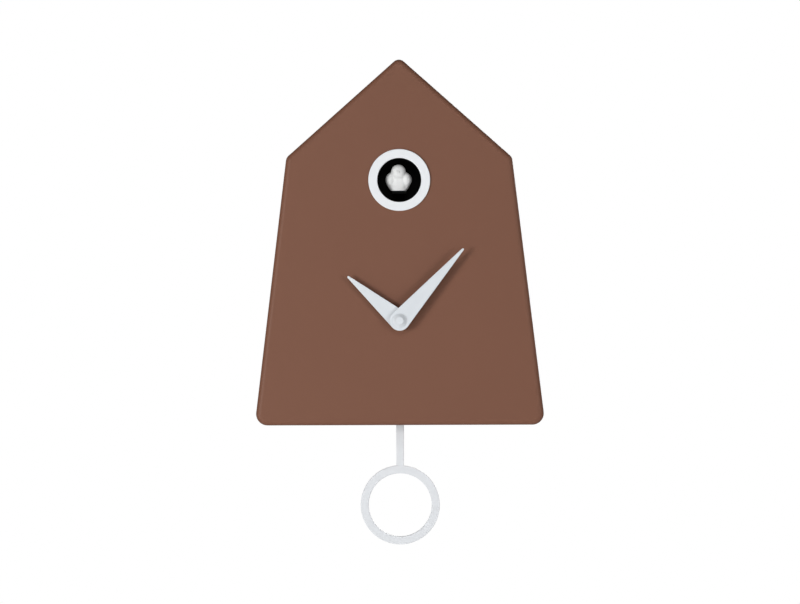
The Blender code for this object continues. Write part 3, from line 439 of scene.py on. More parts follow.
def combined(shape, other, operation):
    """Two solids united, or the first one cut by the other."""
    first = scratch_object(shape)
    second = scratch_object(other)
    modifier = first.modifiers.new("combine", "BOOLEAN")
    modifier.operation = operation
    modifier.object = second
    modifier.solver = "EXACT"
    return taken_back(first, second)


def merged(shapes):
    """Several shapes as one mesh."""
    total = bmesh.new()
    for shape in shapes:
        scratch = mesh_of(shape, "scratch")
        total.from_mesh(scratch)
        bpy.data.meshes.remove(scratch)
    return total


def moved(shape, matrix):
    bmesh.ops.transform(shape, matrix=matrix, verts=shape.verts)
    return shape


def shifted(shape, x=0.0, y=0.0, z=0.0):
    return moved(shape, Matrix.Translation((x, y, z)))


def placed(shape, place):
    """A shape around the Y axis, moved to a place of (x, z)."""
    return shifted(shape, place[0], 0.0, place[1])


def tube(points, radius, sides=3):
    """A round wire through the points."""
    curve = bpy.data.curves.new("scratch", "CURVE")
    curve.dimensions = "3D"
    curve.bevel_depth = radius
    curve.bevel_resolution = sides
    curve.use_fill_caps = True
    spline = curve.splines.new("POLY")
    spline.points.add(len(points) - 1)
    for target, point in zip(spline.points, points):
        target.co = (*point, 1.0)
    return taken_back(linked("scratch", curve))


def add_piece(name, shape, material, node, sharp=35.0, replaces=False):
    """Link a shape in millimetres as a piece that moves with a CAD node's body."""
    mesh = mesh_of(shape, name)
    mesh.transform(TO_FRAME)
    mesh.materials.append(material)
    mesh.shade_smooth()
    mesh.set_sharp_from_angle(angle=radians(sharp))
    obj = linked(name, mesh)
    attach(obj, BODY_OF[node])
    if replaces:
        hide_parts(node)
    flatten_shading(obj)
    return obj


def look(node, shape, material, sharp=35.0):
    """A fine piece that stands for one CAD node."""
    return add_piece(f"{node}_fine", shape, material, node, sharp, replaces=True)


def flatten_shading(obj):
    """Flat faces stay flat beside rounded edges."""
    modifier = obj.modifiers.new("flat_faces", "WEIGHTED_NORMAL")
    modifier.keep_sharp = True


def round_edges(obj, width, angle):
    """Merge flat regions, then round edges sharper than angle degrees by width millimetres."""
    dissolve = obj.modifiers.new("flat_regions", "DECIMATE")
    dissolve.decimate_type = "DISSOLVE"
    dissolve.angle_limit = radians(0.5)
    bevel = obj.modifiers.new("soft_edges", "BEVEL")
    bevel.width = width * MM
    bevel.segments = 2
    bevel.limit_method = "ANGLE"
    bevel.angle_limit = radians(angle)
    flatten_shading(obj)


def soften(obj):
    """Round the moulded edges of a fine piece."""
    obj.modifiers.clear()
    round_edges(obj, 0.2, 50.0)


# Shader nodes


def connect(tree, socket, value):
    """Feed a socket from another node's output, or give it a plain value."""
    if isinstance(value, bpy.types.NodeSocket):
        tree.links.new(value, socket)
    else:
        socket.default_value = value


def add_node(tree, kind, values=None, **settings):
    """A shader node; values maps its inputs, by name or place, to numbers or to another node's output."""
    made = tree.nodes.new("ShaderNode" + kind)
    for key, value in settings.items():
        setattr(made, key, value)
    for key, value in (values or {}).items():
        connect(tree, made.inputs[key], value)
    return made


def shade(colour, factor):
    """A colour made lighter or darker, with its alpha."""
    return tuple(min(channel * factor, 1.0) for channel in colour[:3]) + (1.0,)


class Surface:
    """A material in the making: its nodes, and the inputs of its shader. Sizes are in millimetres."""

    def __init__(self, name, metallic=0.0):
        self.material = bpy.data.materials.new(name)
        self.material.use_nodes = True
        self.tree = self.material.node_tree
        self.shader = self.tree.nodes["Principled BSDF"]
        self.feed("Metallic", metallic)

    def feed(self, name, value):
        """Give the shader's named input a number, a colour or another node's output."""
        connect(self.tree, self.shader.inputs[name], value)

    def node(self, kind, values=None, **settings):
        return add_node(self.tree, kind, values, **settings)

    def where(self, stretch=(1.0, 1.0, 1.0)):
        """The piece's own coordinates, in metres, stretched along the axes."""
        place = self.node("TexCoord").outputs["Object"]
        return self.node("Mapping", {"Vector": place, "Scale": stretch}).outputs["Vector"]

    def noise(self, size, detail=3.0, stretch=(1.0, 1.0, 1.0), roughness=0.5):
        """Noise whose features are about size across."""
        values = {"Vector": self.where(stretch), "Scale": 1 / (size * MM)}
        values |= {"Detail": detail, "Roughness": roughness}
        return self.node("TexNoise", values).outputs["Fac"]

    def spread(self, source, low, high, start=0.3, end=0.7):
        """A value brought from the range start to end into the range low to high."""
        values = {"Value": source, "From Min": start, "From Max": end, "To Min": low, "To Max": high}
        return self.node("MapRange", values).outputs["Result"]

    def mix(self, factor, first, second):
        """The first colour where factor is 0, and the second where it is 1."""
        return self.node("Mix", {0: factor, 6: first, 7: second}, data_type="RGBA").outputs[2]

    def compute(self, operation, first, second):
        return self.node("Math", {0: first, 1: second}, operation=operation).outputs["Value"]

    def clouds(self, colour, size, detail, dark, light, stretch=(1.0, 1.0, 1.0)):
        """A colour that drifts between two shades of itself."""
        drift = self.spread(self.noise(size, detail, stretch), 0.0, 1.0)
        return self.mix(drift, shade(colour, dark), shade(colour, light))

    def worn_edges(self, width, base, worn):
        """The base colour, turning into the worn one where hands and assembly rub the edges."""
        return self.mix(self.edge_mask(width), base, worn)

    def edge_mask(self, width):
        """1 on sharp edges, fading over width, and 0 elsewhere."""
        rounded_normal = self.node("Bevel", {"Radius": width * MM}, samples=4).outputs["Normal"]
        normals = {0: rounded_normal, 1: self.node("NewGeometry").outputs["Normal"]}
        likeness = self.node("VectorMath", normals, operation="DOT_PRODUCT").outputs["Value"]
        return self.spread(likeness, 1.0, 0.0, 0.75, 0.98)

    def roughness(self, size, detail, low, high):
        """Roughness that drifts between low and high."""
        self.feed("Roughness", self.spread(self.noise(size, detail), low, high))

    def bump(self, height, depth, under=None):
        """Relief about depth deep, on top of the relief under it."""
        values = {"Height": height, "Strength": 1.0, "Distance": depth * MM}
        if under:
            values["Normal"] = under
        relief = self.node("Bump", values).outputs["Normal"]
        self.feed("Normal", relief)
        return relief


# Materials


def plastic(name, colour, roughness, grain=0.3, depth=0.012, mottle=0.03, wear=1.15, specular=0.45):
    """Moulded plastic: a fine eroded grain, cloudy colour and gloss, and slightly polished edges."""
    surface = Surface(name)
    clouds = surface.clouds(colour, 35.0, 4.0, 1 - mottle, 1 + mottle)
    flecks = surface.spread(surface.noise(grain * 1.7, 2.0), 0.0, 1.0, 0.35, 0.65)
    base = surface.mix(flecks, clouds, surface.mix(0.5, clouds, shade(colour, 1 + 2 * mottle)))
    worn = surface.spread(surface.noise(4.0, 5.0), 0.0, 0.8, 0.45, 0.7)
    rubbed = surface.compute("MULTIPLY", surface.edge_mask(0.35), worn)
    surface.feed("Base Color", surface.mix(rubbed, base, shade(colour, wear)))
    gloss = surface.spread(surface.noise(12.0, 4.0), roughness - 0.015, roughness + 0.015)
    polish = surface.spread(rubbed, 0.0, -0.12, 0.0, 1.0)
    surface.feed("Roughness", surface.compute("ADD", gloss, polish))
    surface.feed("Specular IOR Level", specular)
    surface.bump(surface.noise(grain, 2.0, roughness=0.6), depth)
    return surface.material


def paint(name, colour, roughness):
    """Sprayed paint on sheet metal: a faint orange peel under a thin clear coat."""
    surface = Surface(name)
    base = surface.clouds(colour, 18.0, 3.0, 0.975, 1.02)
    surface.feed("Base Color", surface.worn_edges(0.25, base, shade(colour, 1.1)))
    surface.roughness(6.0, 4.0, roughness - 0.05, roughness + 0.06)
    surface.feed("Coat Weight", 0.15)
    surface.feed("Coat Roughness", 0.25)
    peel = surface.bump(surface.noise(1.1, 1.0), 0.012)
    surface.bump(surface.noise(0.12, 2.0), 0.002, peel)
    return surface.material


def metal(name, colour, roughness, stretch):
    """Drawn or turned metal: fine streaks, duller patches and brighter edges."""
    surface = Surface(name, metallic=1.0)
    patches = surface.spread(surface.noise(7.0, 5.0), 0.0, 1.0)
    base = surface.mix(patches, shade(colour, 0.86), shade(colour, 1.05))
    surface.feed("Base Color", surface.worn_edges(0.15, base, shade(colour, 1.25)))
    streaks = surface.noise(0.5, 3.0, stretch)
    streaky = surface.spread(streaks, -0.06, 0.08)
    patchy = surface.spread(patches, 0.05, 0.0, 0.0, 1.0)
    uneven = surface.compute("ADD", streaky, patchy)
    surface.feed("Roughness", surface.compute("ADD", uneven, roughness))
    surface.bump(streaks, 0.002)
    return surface.material


def nylon(name, colour):
    """Milky gear plastic, slightly translucent, with faint flow lines."""
    surface = Surface(name)
    base = surface.clouds(colour, 3.0, 3.0, 0.94, 1.04, (1.0, 3.0, 1.0))
    surface.feed("Base Color", surface.worn_edges(0.1, base, shade(colour, 1.15)))
    surface.roughness(2.0, 4.0, 0.36, 0.5)
    surface.feed("Subsurface Weight", 0.15)
    surface.feed("Subsurface Scale", 0.001)
    surface.bump(surface.noise(0.2, 2.0), 0.003)
    return surface.material


def winding(name, colour, wire, direction):
    """Lacquered wire wound turn by turn: ridges one wire apart with painted shade in the grooves between
    them, each turn a little different in tone.
    """
    radians_per_unit = 20.0
    surface = Surface(name, metallic=0.85)
    values = {"Vector": surface.where(), "Scale": 2 * pi / (radians_per_unit * wire * MM)}
    values |= {"Distortion": 0.4, "Detail": 1.0}
    turns = surface.node("TexWave", values, wave_type="BANDS", bands_direction=direction).outputs["Fac"]
    # Painted shade: the colour darkens in the grooves between turns, where shade falls.
    base = surface.mix(turns, shade(colour, 0.45), shade(colour, 1.1))
    tone = surface.spread(surface.noise(1.5, 4.0), 0.0, 0.5)
    surface.feed("Base Color", surface.mix(tone, base, shade(colour, 0.7)))
    surface.roughness(1.0, 3.0, 0.22, 0.4)
    surface.feed("Coat Weight", 0.4)
    surface.bump(turns, 0.06)
    return surface.material


def board(name, colour):
    """A lacquered circuit board with straight copper runs under the lacquer."""
    surface = Surface(name)
    values = {"Vector": surface.where(), "Scale": 1 / (4.0 * MM), "Randomness": 0.35}
    cells = surface.node("TexVoronoi", values, feature="F1", distance="CHEBYCHEV").outputs["Distance"]
    inner_edge = surface.spread(cells, 0.0, 1.0, 0.33, 0.36)
    outer_edge = surface.spread(cells, 1.0, 0.0, 0.42, 0.45)
    runs = surface.compute("MULTIPLY", inner_edge, outer_edge)
    clouds = surface.clouds(colour, 9.0, 3.0, 0.85, 1.1)
    surface.feed("Base Color", surface.mix(runs, clouds, shade(colour, 1.9)))
    surface.roughness(5.0, 3.0, 0.26, 0.4)
    surface.feed("Coat Weight", 0.3)
    surface.bump(runs, 0.03)
    return surface.material


def paper(name, colour):
    """Pressed speaker paper with short fibres."""
    surface = Surface(name)
    fibres = surface.noise(0.5, 6.0, (1.0, 0.4, 2.5), 0.7)
    tone = surface.spread(fibres, 0.0, 1.0)
    surface.feed("Base Color", surface.mix(tone, shade(colour, 0.7), shade(colour, 1.5)))
    surface.roughness(3.0, 3.0, 0.78, 0.95)
    surface.feed("Sheen Weight", 0.15)
    surface.bump(fibres, 0.05)
    return surface.material


def sleeve(name, colour, scuff_colour):
    """A film shrunk around a cell: cloudy colour, scuffs and a glossy coat."""
    surface = Surface(name)
    scuffs = surface.spread(surface.noise(0.6, 6.0, (0.3, 1.0, 1.0), 0.75), 0.0, 0.25, 0.6, 0.75)
    base = surface.clouds(colour, 8.0, 3.0, 0.9, 1.1)
    surface.feed("Base Color", surface.mix(scuffs, base, scuff_colour))
    surface.roughness(4.0, 4.0, 0.22, 0.36)
    surface.feed("Coat Weight", 0.5)
    surface.feed("Coat Roughness", 0.12)
    surface.bump(surface.noise(2.5, 3.0), 0.02)
    return surface.material


def insulation(name, colour):
    """Soft wire insulation, slightly sticky, so that dust dulls it in places."""
    surface = Surface(name)
    dust = surface.spread(surface.noise(1.4, 5.0), 0.0, 0.3, 0.5, 0.75)
    surface.feed("Base Color", surface.mix(dust, shade(colour, 1.0), shade(colour, 1.6)))
    surface.roughness(2.0, 4.0, 0.36, 0.55)
    surface.bump(surface.noise(0.5, 2.0), 0.01)
    return surface.material


CASE_BROWN = plastic(
    "case_brown", (0.178, 0.0765, 0.046), 0.55, grain=0.28, depth=0.0012, mottle=0.008, specular=0.25
)
COVER_BROWN = plastic(
    "cover_brown", (0.170, 0.072, 0.046), 0.60, grain=0.55, depth=0.008, mottle=0.02, specular=0.3
)
WHITE_SATIN = plastic(
    "white_satin", (0.77, 0.79, 0.81), 0.38, grain=0.35, depth=0.004, mottle=0.01, wear=1.05
)
PENDULUM_WHITE = plastic(
    "pendulum_white", (0.70, 0.72, 0.745), 0.48, grain=0.35, depth=0.002, mottle=0.012, wear=1.05
)
BIRD_WHITE = plastic(
    "bird_white", (0.73, 0.735, 0.73), 0.52, grain=0.45, depth=0.008, mottle=0.015, wear=1.05
)
HAND_PAINT = paint("hand_white", (0.675, 0.71, 0.742), 0.36)
# Black plastic made blacker still: painted shade for the unlit depth inside the tunnel.
TUNNEL_BLACK_AND_SHADE = plastic(
    "tunnel_black_and_painted_shade", (0.004, 0.0035, 0.0035), 0.75, grain=0.4, depth=0.02, wear=1.6, specular=0.2
)
CARRIAGE_BLACK = plastic(
    "carriage_black", (0.0025, 0.0028, 0.0025), 0.8, grain=0.4, depth=0.015, wear=1.6, specular=0.05
)
BLACK_PLASTIC = plastic(
    "black_moulded", (0.014, 0.013, 0.013), 0.48, grain=0.4, depth=0.02, mottle=0.08, wear=1.8
)
GEAR_NYLON = nylon("gear_nylon_milky", (0.75, 0.73, 0.66))
STEEL = metal("drawn_steel", (0.56, 0.57, 0.58), 0.30, (1.0, 1.0, 8.0))
PLATED_STEEL = metal("plated_steel", (0.62, 0.62, 0.61), 0.24, (6.0, 1.0, 1.0))
BRASS = metal("turned_brass", (0.78, 0.57, 0.25), 0.26, (1.0, 8.0, 1.0))
COPPER = (0.64, 0.26, 0.12)
COIL_UPRIGHT = winding("coil_wire_upright", COPPER, 0.25, "Z")
COIL_ROUND = winding("coil_wire_round", COPPER, 0.25, "Y")
BOARD_GREEN = board("board_lacquer", (0.020, 0.130, 0.060))
CONE_PAPER = paper("cone_paper_pressed", (0.035, 0.033, 0.032))
CELL_BLUE = sleeve("cell_film_blue", (0.050, 0.110, 0.330), (0.45, 0.5, 0.6, 1.0))
CELL_SILVER = sleeve("cell_film_silver", (0.50, 0.51, 0.53), (0.8, 0.8, 0.8, 1.0))
WIRE_RED = insulation("wire_red_soft", (0.45, 0.020, 0.015))
WIRE_BLACK = insulation("wire_black_soft", (0.014, 0.014, 0.015))


# Case


def make_front_shell():
    """A rounded front, thin walls and a rim for the wall, with its bosses and holes."""
    outside = [(inset, FRONT + depth) for inset, depth in quarter_round(EDGE_FILLET, 12)]
    rim = [(inset, -depth) for inset, depth in reversed(quarter_round(0.5, 3))]
    inner_rim = [(WALL - inset, y) for inset, y in reversed(rim)]
    inner_fillet = reversed(quarter_round(EDGE_FILLET - WALL, 4))
    inside = [(WALL + inset, INSIDE_FRONT + depth) for inset, depth in inner_fillet]
    levels = outside + rim + inner_rim + inside
    shell = loft([(house(inset), y) for inset, y in levels])
    shell = combined(shell, merged(shell_bosses()), "UNION")
    shell = combined(shell, merged(shell_holes()), "DIFFERENCE")
    look("front_shell", shell, CASE_BROWN, 25.0)


def shell_bosses():
    """Screw bosses that stand on the inside of the front face."""
    root = INSIDE_FRONT - 1.0
    shapes = [cylinder(BOSS_RADIUS, root, COVER_FRONT - GAP, 32, place) for place in COVER_SCREWS]
    for x, drop in BRACKET_SCREWS:
        shapes.append(cylinder(BOSS_RADIUS, root, BRACKET_FRONT - GAP, 32, (x, WINDOW_HEIGHT + drop)))
    return shapes


def shell_holes():
    """The window, the hole for the hand shaft, the pendulum's slot and the screws' pilot holes."""
    slot_front, slot_back = PENDULUM_Y - 6.0, PENDULUM_Y + 6.0
    slot = rounded(rectangle(-SLOT_HALF_WIDTH, SLOT_HALF_WIDTH, slot_front, slot_back), [2.0] * 4, 6)
    shapes = [
        cylinder(TUNNEL_OUTER + 0.4, FRONT - 2, INSIDE_FRONT + 2, 96, (0.0, WINDOW_HEIGHT)),
        cylinder(4.4, FRONT - 2, INSIDE_FRONT + 2, 48, (0.0, SHAFT_HEIGHT)),
        moved(prism(slot, -3.0, 5.0), SWAP_YZ),
    ]
    shapes += [cylinder(PILOT_RADIUS, -18.0, 0.0, 16, place) for place in COVER_SCREWS]
    for x, drop in BRACKET_SCREWS:
        shapes.append(cylinder(PILOT_RADIUS, -56.0, -40.0, 16, (x, WINDOW_HEIGHT + drop)))
    return shapes


def speaker_slots():
    """Round-ended slots in front of the speaker."""
    half_height = 1.1
    spacing = 4.6
    reach = 20.5
    x, z = SPEAKER_PLACE
    slots = []
    for k in range(-4, 5):
        rise = k * spacing
        half = sqrt(reach**2 - rise**2)
        slot = rectangle(x - half, x + half, z + rise - half_height, z + rise + half_height)
        slots.append(rounded(slot, [half_height * 0.95] * 4, 6))
    return slots


def door_opening():
    """The hole in the cover that the battery door closes."""
    return rectangle(-DOOR_HALF_WIDTH - 0.4, DOOR_HALF_WIDTH + 0.4, 14.0, DOOR_TOP + 0.4)


def cover_features():
    """Raised rims and marks on the back of the cover."""
    shapes = [pierced(keyhole_outline(2.2), [keyhole_outline()], MARK_ROOT, COVER_BACK + 1.2)]
    rims = [(11.0, KNOB_HOLE_RADIUS, 72, (0.0, SHAFT_HEIGHT)), (24.0, 22.8, 96, SPEAKER_PLACE)]
    rims += [(4.8, 3.7, 40, place) for place in COVER_SCREWS]
    for outer, inner, segments, place in rims:
        hole = circle(inner, segments, place)
        shapes.append(pierced(circle(outer, segments, place), [hole], MARK_ROOT, COVER_BACK + 0.7))
    door_rim = rectangle(-DOOR_HALF_WIDTH - 2.6, DOOR_HALF_WIDTH + 2.6, 11.6, DOOR_TOP + 2.8)
    shapes.append(pierced(rounded(door_rim, [2.5] * 4, 8), [door_opening()], MARK_ROOT, COVER_BACK + 0.5))
    shapes += [turning_mark(side) for side in (-1, 1)]
    return [*shapes, loudness_mark(), *switch_marks()]


def turning_mark(side):
    """An arrow bent around the setting knob."""
    start, end, point = (90 - side * sweep for sweep in (28, 62, 76))
    outer = arc(14.4, start, end, 12, (0.0, SHAFT_HEIGHT))
    inner = arc(13.4, end, start, 12, (0.0, SHAFT_HEIGHT))
    head = [(15.5, end), (13.9, point), (12.3, end)]
    tip = [(r * cos(radians(a)), SHAFT_HEIGHT + r * sin(radians(a))) for r, a in head]
    return prism(outer + tip + inner, MARK_ROOT, MARK_TOP)


def loudness_mark():
    """A bent wedge beside the volume knob, widest at its loud end."""
    quiet, loud = 215.0, 325.0
    steps = 24
    x, z = VOLUME_PLACE
    outer = []
    for k in range(steps + 1):
        share = k / steps
        angle = radians(quiet + (loud - quiet) * share)
        reach = 9.6 + 1.5 * share
        outer.append((x + reach * cos(angle), z + reach * sin(angle)))
    return prism(outer + arc(9.2, loud, quiet, steps, VOLUME_PLACE), MARK_ROOT, MARK_TOP)


def switch_marks():
    """Three bars above the mode switch, one for each of its places, each taller than the last."""
    shapes = []
    for step in (-1, 0, 1):
        x = SWITCH_PLACE[0] + 3.0 * step
        low = SWITCH_PLACE[1] + 3.8
        shapes.append(prism(rectangle(x - 0.4, x + 0.4, low, low + 1.8 + step * 0.6), MARK_ROOT, MARK_TOP))
    return shapes


def make_rear_cover():
    """The cover with its openings, a dip for the finger at the door and a blank plate recess."""
    switch_x, switch_z = SWITCH_PLACE
    holes = [circle(1.9, 24, place) for place in COVER_SCREWS]
    holes += speaker_slots()
    holes += [
        keyhole_outline(),
        circle(KNOB_HOLE_RADIUS, 72, (0.0, SHAFT_HEIGHT)),
        circle(VOLUME_HOLE_RADIUS, 60, VOLUME_PLACE),
        rectangle(switch_x - 5.5, switch_x + 5.5, switch_z - 2.5, switch_z + 2.5),
        door_opening(),
    ]
    cover = pierced(house(WALL + COVER_GAP), holes, COVER_FRONT, COVER_BACK)
    cover = combined(cover, merged(cover_features()), "UNION")
    finger_dip = ball((8.0, 1.6, 4.0), (0.0, COVER_BACK + 0.9, DOOR_TOP + 4.6), 48, 24)
    plate_dip = soft_box(14.0, 56.0, COVER_BACK - 0.35, COVER_BACK + 2.0, 62.0, 84.0)
    cover = combined(cover, merged([finger_dip, plate_dip]), "DIFFERENCE")
    soften(look("rear_cover", cover, COVER_BROWN))


def screw_shape(seat, length, head_radius, head_height, shank):
    """A pan head with a cross recess, over a threaded shank."""
    dome = ((0.0, 1.0), (0.55, 0.97), (0.86, 0.75), (1.0, 0.25), (1.0, 0.0))
    profile = [(head_radius * across, seat + head_height * up) for across, up in dome]
    root = shank * 0.8
    profile.append((root, seat))
    pitch = 0.9
    for k in range(int((length - 1.0) / pitch)):
        y = seat - 0.6 - k * pitch
        profile += [(root, y), (shank, y - pitch * 0.35), (root, y - pitch * 0.7)]
    profile += [(shank * 0.75, seat - length), (0.0, seat - length - 1.0)]
    screw = turned(profile, 40)
    arm, width = head_radius * 0.58, head_radius * 0.13
    floor = seat + head_height * 0.25
    for across, up in ((arm, width), (width, arm)):
        cutter = soft_box(-across, across, floor, seat + 5.0, -up, up, width * 0.6, 2)
        screw = combined(screw, cutter, "DIFFERENCE")
    return screw


def make_cover_screws():
    for number, place in enumerate(COVER_SCREWS, start=1):
        screw = screw_shape(COVER_BACK + GAP, 12.0, 3.2, 1.7, 1.5)
        turn = Matrix.Rotation(radians(37.0 * number), 4, "Y")
        look(f"cover_screw_{number}", placed(moved(screw, turn), place), PLATED_STEEL)


def make_bracket_screws():
    for number, (x, drop) in enumerate(BRACKET_SCREWS, start=1):
        screw = screw_shape(BRACKET_FRONT + BRACKET_THICKNESS + GAP, 8.0, 2.8, 1.5, 1.4)
        look(f"bracket_screw_{number}", placed(screw, (x, WINDOW_HEIGHT + drop)), PLATED_STEEL)


# Window, bird and carriage


def make_window_ring():
    look("window_ring", flat_ring("window_ring", RING_INNER, 0.45, 160), WHITE_SATIN, 60.0)


def make_bird_tunnel():
    """A closed tube with a flange behind the case's front, and rails that guide the carriage."""
    flange = 23.5
    flange_thickness = 1.2
    floor_thickness = 1.5
    seat = INSIDE_FRONT + GAP
    profile = [
        (0.0, TUNNEL_BACK - floor_thickness),
        (TUNNEL_INNER, TUNNEL_BACK - floor_thickness),
        (TUNNEL_INNER, FRONT),
        (TUNNEL_OUTER, FRONT),
        (TUNNEL_OUTER, seat),
        (flange, seat),
        (flange, seat + flange_thickness),
        (TUNNEL_OUTER, seat + flange_thickness),
        (TUNNEL_OUTER, TUNNEL_BACK),
        (0.0, TUNNEL_BACK),
    ]
    tunnel = turned(softened(profile, 0.3, 3), 96)
    rail_inner = BEAM_HALF_WIDTH + 0.5
    rail_outer = rail_inner + 1.4
    rail_low, rail_high, rail_back = -13.2, -6.9, -14.0
    bridge_low, bridge_high = -8.0, -6.8
    root = TUNNEL_BACK - 0.5
    rails = [
        prism(rectangle(-rail_outer, -rail_inner, rail_low, rail_high), root, rail_back),
        prism(rectangle(rail_inner, rail_outer, rail_low, rail_high), root, rail_back),
        prism(rectangle(-rail_outer, rail_outer, bridge_low, bridge_high), -26.0, -18.0),
    ]
    for rail in rails:
        tunnel = combined(tunnel, rail, "UNION")
    slot = prism(rectangle(-rail_inner, rail_inner, rail_low, bridge_low), TUNNEL_BACK - 4, TUNNEL_BACK + 1)
    tunnel = combined(tunnel, slot, "DIFFERENCE")
    look("bird_tunnel", shifted(tunnel, z=WINDOW_HEIGHT), TUNNEL_BLACK_AND_SHADE)


def bird_masses():
    """Overlapping rounded masses of the bird, around the window's centre: y runs from beak to tail."""
    belly = ball((6.3, 5.6, 7.6), (-0.2, -63.6, -1.4), power=2.5)
    shoulders = ball((10.8, 5.2, 7.3), (-0.5, -63.6, 0.7), power=2.1)
    hips = ball((9.7, 5.2, 8.0), (-0.6, -63.4, -1.2), power=2.1)
    foot = bird_foot((7.6, 4.8), (5.2, 4.6), (-0.55, -63.4), -5.6, -10.5)
    head = ball((5.9, 6.0, 6.4), (-0.7, -65.2, 6.5), power=2.2)
    wings = [ball((4.3, 5.4, 5.8), (x, -63.9, 0.6)) for x in (-6.9, 5.7)]
    tail = ball((4.2, 7.0, 2.2), (0.0, -57.0, -2.6))
    return [belly, shoulders, hips, foot, head, *wings, tail]


def bird_foot(top_radii, bottom_radii, centre, top, bottom):
    """A standing oval block that narrows downwards."""
    sections = []
    for (across, deep), z in ((top_radii, top), (bottom_radii, bottom)):
        oval = [(centre[0] + x * across, centre[1] + y * deep) for x, y in circle(1.0, 40)]
        sections.append((oval, z))
    return moved(loft(sections), SWAP_YZ)


def make_bird():
    """One smooth skin over the masses, with a beak and feathered wings, cut flat at the feet."""
    skin = scratch_object(merged(bird_masses()))
    remesh = skin.modifiers.new("skin", "REMESH")
    remesh.mode = "VOXEL"
    remesh.voxel_size = 0.32
    smooth = skin.modifiers.new("smooth", "SMOOTH")
    smooth.factor = 0.5
    smooth.iterations = 8
    shape = taken_back(skin)
    carve_feathers(shape)
    beak_profile = [(0.0, -71.9), (1.0, -71.7), (2.1, -71.1), (2.9, -70.3), (3.1, -68.6), (0.0, -67.0)]
    beak = turned(softened(beak_profile, 0.3, 3), 40)
    flattened = Matrix.Diagonal((0.8, 1.0, 0.6, 1.0))
    beak = moved(beak, Matrix.Translation((-1.0, 0.0, 6.6)) @ flattened)
    shape = combined(shape, beak, "UNION")
    below_feet = prism(rectangle(-30.0, 30.0, -30.0, CARRIAGE_TOP + GAP), -90.0, -30.0)
    shape = combined(shape, below_feet, "DIFFERENCE")
    look("bird", shifted(shape, z=WINDOW_HEIGHT), BIRD_WHITE, 50.0)


def carve_feathers(shape):
    """Shallow feather rows that slope over the outer sides of the wings."""
    spacing = 2.1
    depth = 0.16
    middle = -0.2
    wing_start = 6.3
    fade = 2.0
    shape.normal_update()
    for vertex in shape.verts:
        x, y, z = vertex.co
        share = max(0.0, min(1.0, (abs(x - middle) - wing_start) / fade))
        if share == 0.0:
            continue
        row = (z * 0.8 - (y + 60.0) * 0.45) / spacing
        groove = abs(row - round(row)) * 2
        vertex.co = vertex.co - vertex.normal * depth * share * (1 - groove) ** 2


def make_bird_carriage():
    """The CAD carriage with rounded edges and its own black."""
    finish_node("bird_carriage", CARRIAGE_BLACK, 0.25)


# Hands


def make_hands():
    for node, length, angle, hole_radius in (
        ("hour_hand", HOUR_LENGTH, HOUR_ANGLE, 3.0),
        ("minute_hand", MINUTE_LENGTH, MINUTE_ANGLE, 1.8),
    ):
        low, high = node_span(node)
        plate = soft_plate(
            lambda inset: hand_outline(length, angle, inset), low.y, high.y, 0.32, circle(hole_radius, 48)
        )
        look(node, shifted(plate, z=SHAFT_HEIGHT), HAND_PAINT, 60.0)


def make_hand_cap():
    """A flat button with a sloping flank and a thin rounded rim."""
    back = node_span("hand_cap")[1].y
    profile = [
        (0.0, back - 2.6),
        (2.9, back - 2.6),
        (5.0, back - 0.7),
        (5.5, back - 0.5),
        (5.5, back),
        (1.8, back),
        (1.8, back - 1.2),
        (0.0, back - 1.2),
    ]
    cap = turned(softened(profile, 0.35, 5), 96)
    look("hand_cap", shifted(cap, z=SHAFT_HEIGHT), HAND_PAINT, 60.0)


def make_set_knob():
    """A ribbed knob with a dished face and a ring groove, on its hub."""
    low, high = node_span("set_knob")
    disc_front = -8.6
    disc = soft_plate(lambda inset: ribbed_outline(8.5, 0.45, 26, inset), disc_front, high.y, 0.8)
    dish = ball((5.8, 1.3, 5.8), (0.0, high.y + 0.25, 0.0), 64, 32)
    groove_floor, groove_end = high.y - 0.35, high.y + 1.0
    groove = turned([(6.2, groove_floor), (6.2, groove_end), (6.7, groove_end), (6.7, groove_floor)], 72)
    disc = combined(disc, merged([dish, groove]), "DIFFERENCE")
    hub = turned([(1.8, low.y), (3.0, low.y), (3.0, disc_front + 0.2), (1.8, disc_front + 0.2)], 48)
    look("set_knob", shifted(combined(disc, hub, "UNION"), z=SHAFT_HEIGHT), BLACK_PLASTIC)


# Pendulum


def make_pendulum_ring():
    ring = flat_ring("pendulum_ring", PENDULUM_RING_INNER, 0.5, 192)
    look("pendulum_ring", ring, PENDULUM_WHITE, 60.0)


def make_pendulum_rod():
    """A flat rod with a round top, run into the ring and a little thinner than it."""
    low, high = node_span("pendulum_rod")
    foot = low.z - 2.6
    sunk = 0.06
    top_radius = 3.3
    shoulder = high.z - top_radius

    def outline(inset):
        points = [(-3.0 + inset, foot), (3.0 - inset, foot), (top_radius - inset, shoulder)]
        points += arc(top_radius - inset, 10, 170, 20, (0.0, shoulder))
        return [*points, (-top_radius + inset, shoulder)]

    hole = circle(1.5, 32, (0.0, ROD_HOLE_HEIGHT))
    rod = soft_plate(outline, low.y + sunk, high.y - sunk, 0.5, hole)
    look("pendulum_rod", rod, PENDULUM_WHITE, 60.0)


# Sound


def make_speaker_cone():
    """A dust cap, the paper cone and a round surround that joins it to the frame."""
    cap_radius, cap_base, cap_rise = 6.0, -12.6, 2.2
    rim = -7.6
    roll_centre, roll_radius, roll_rise = 19.6, 1.7, 1.4
    profile = [(0.0, -10.4)]
    profile += [(cap_radius * sin(a), cap_base + cap_rise * cos(a)) for a in (0.35, 0.7, 1.05, 1.4)]
    profile += [(6.3, -12.7), (17.6, rim)]
    for angle in range(20, 180, 20):
        a = radians(angle)
        profile.append((roll_centre - roll_radius * cos(a), rim + roll_rise * sin(a)))
    profile += [(21.5, -7.1), (21.5, -7.4), (17.4, -8.3), (6.4, -13.3), (0.0, -13.3)]
    look("speaker_cone", placed(turned(profile, 96), SPEAKER_PLACE), CONE_PAPER, 40.0)


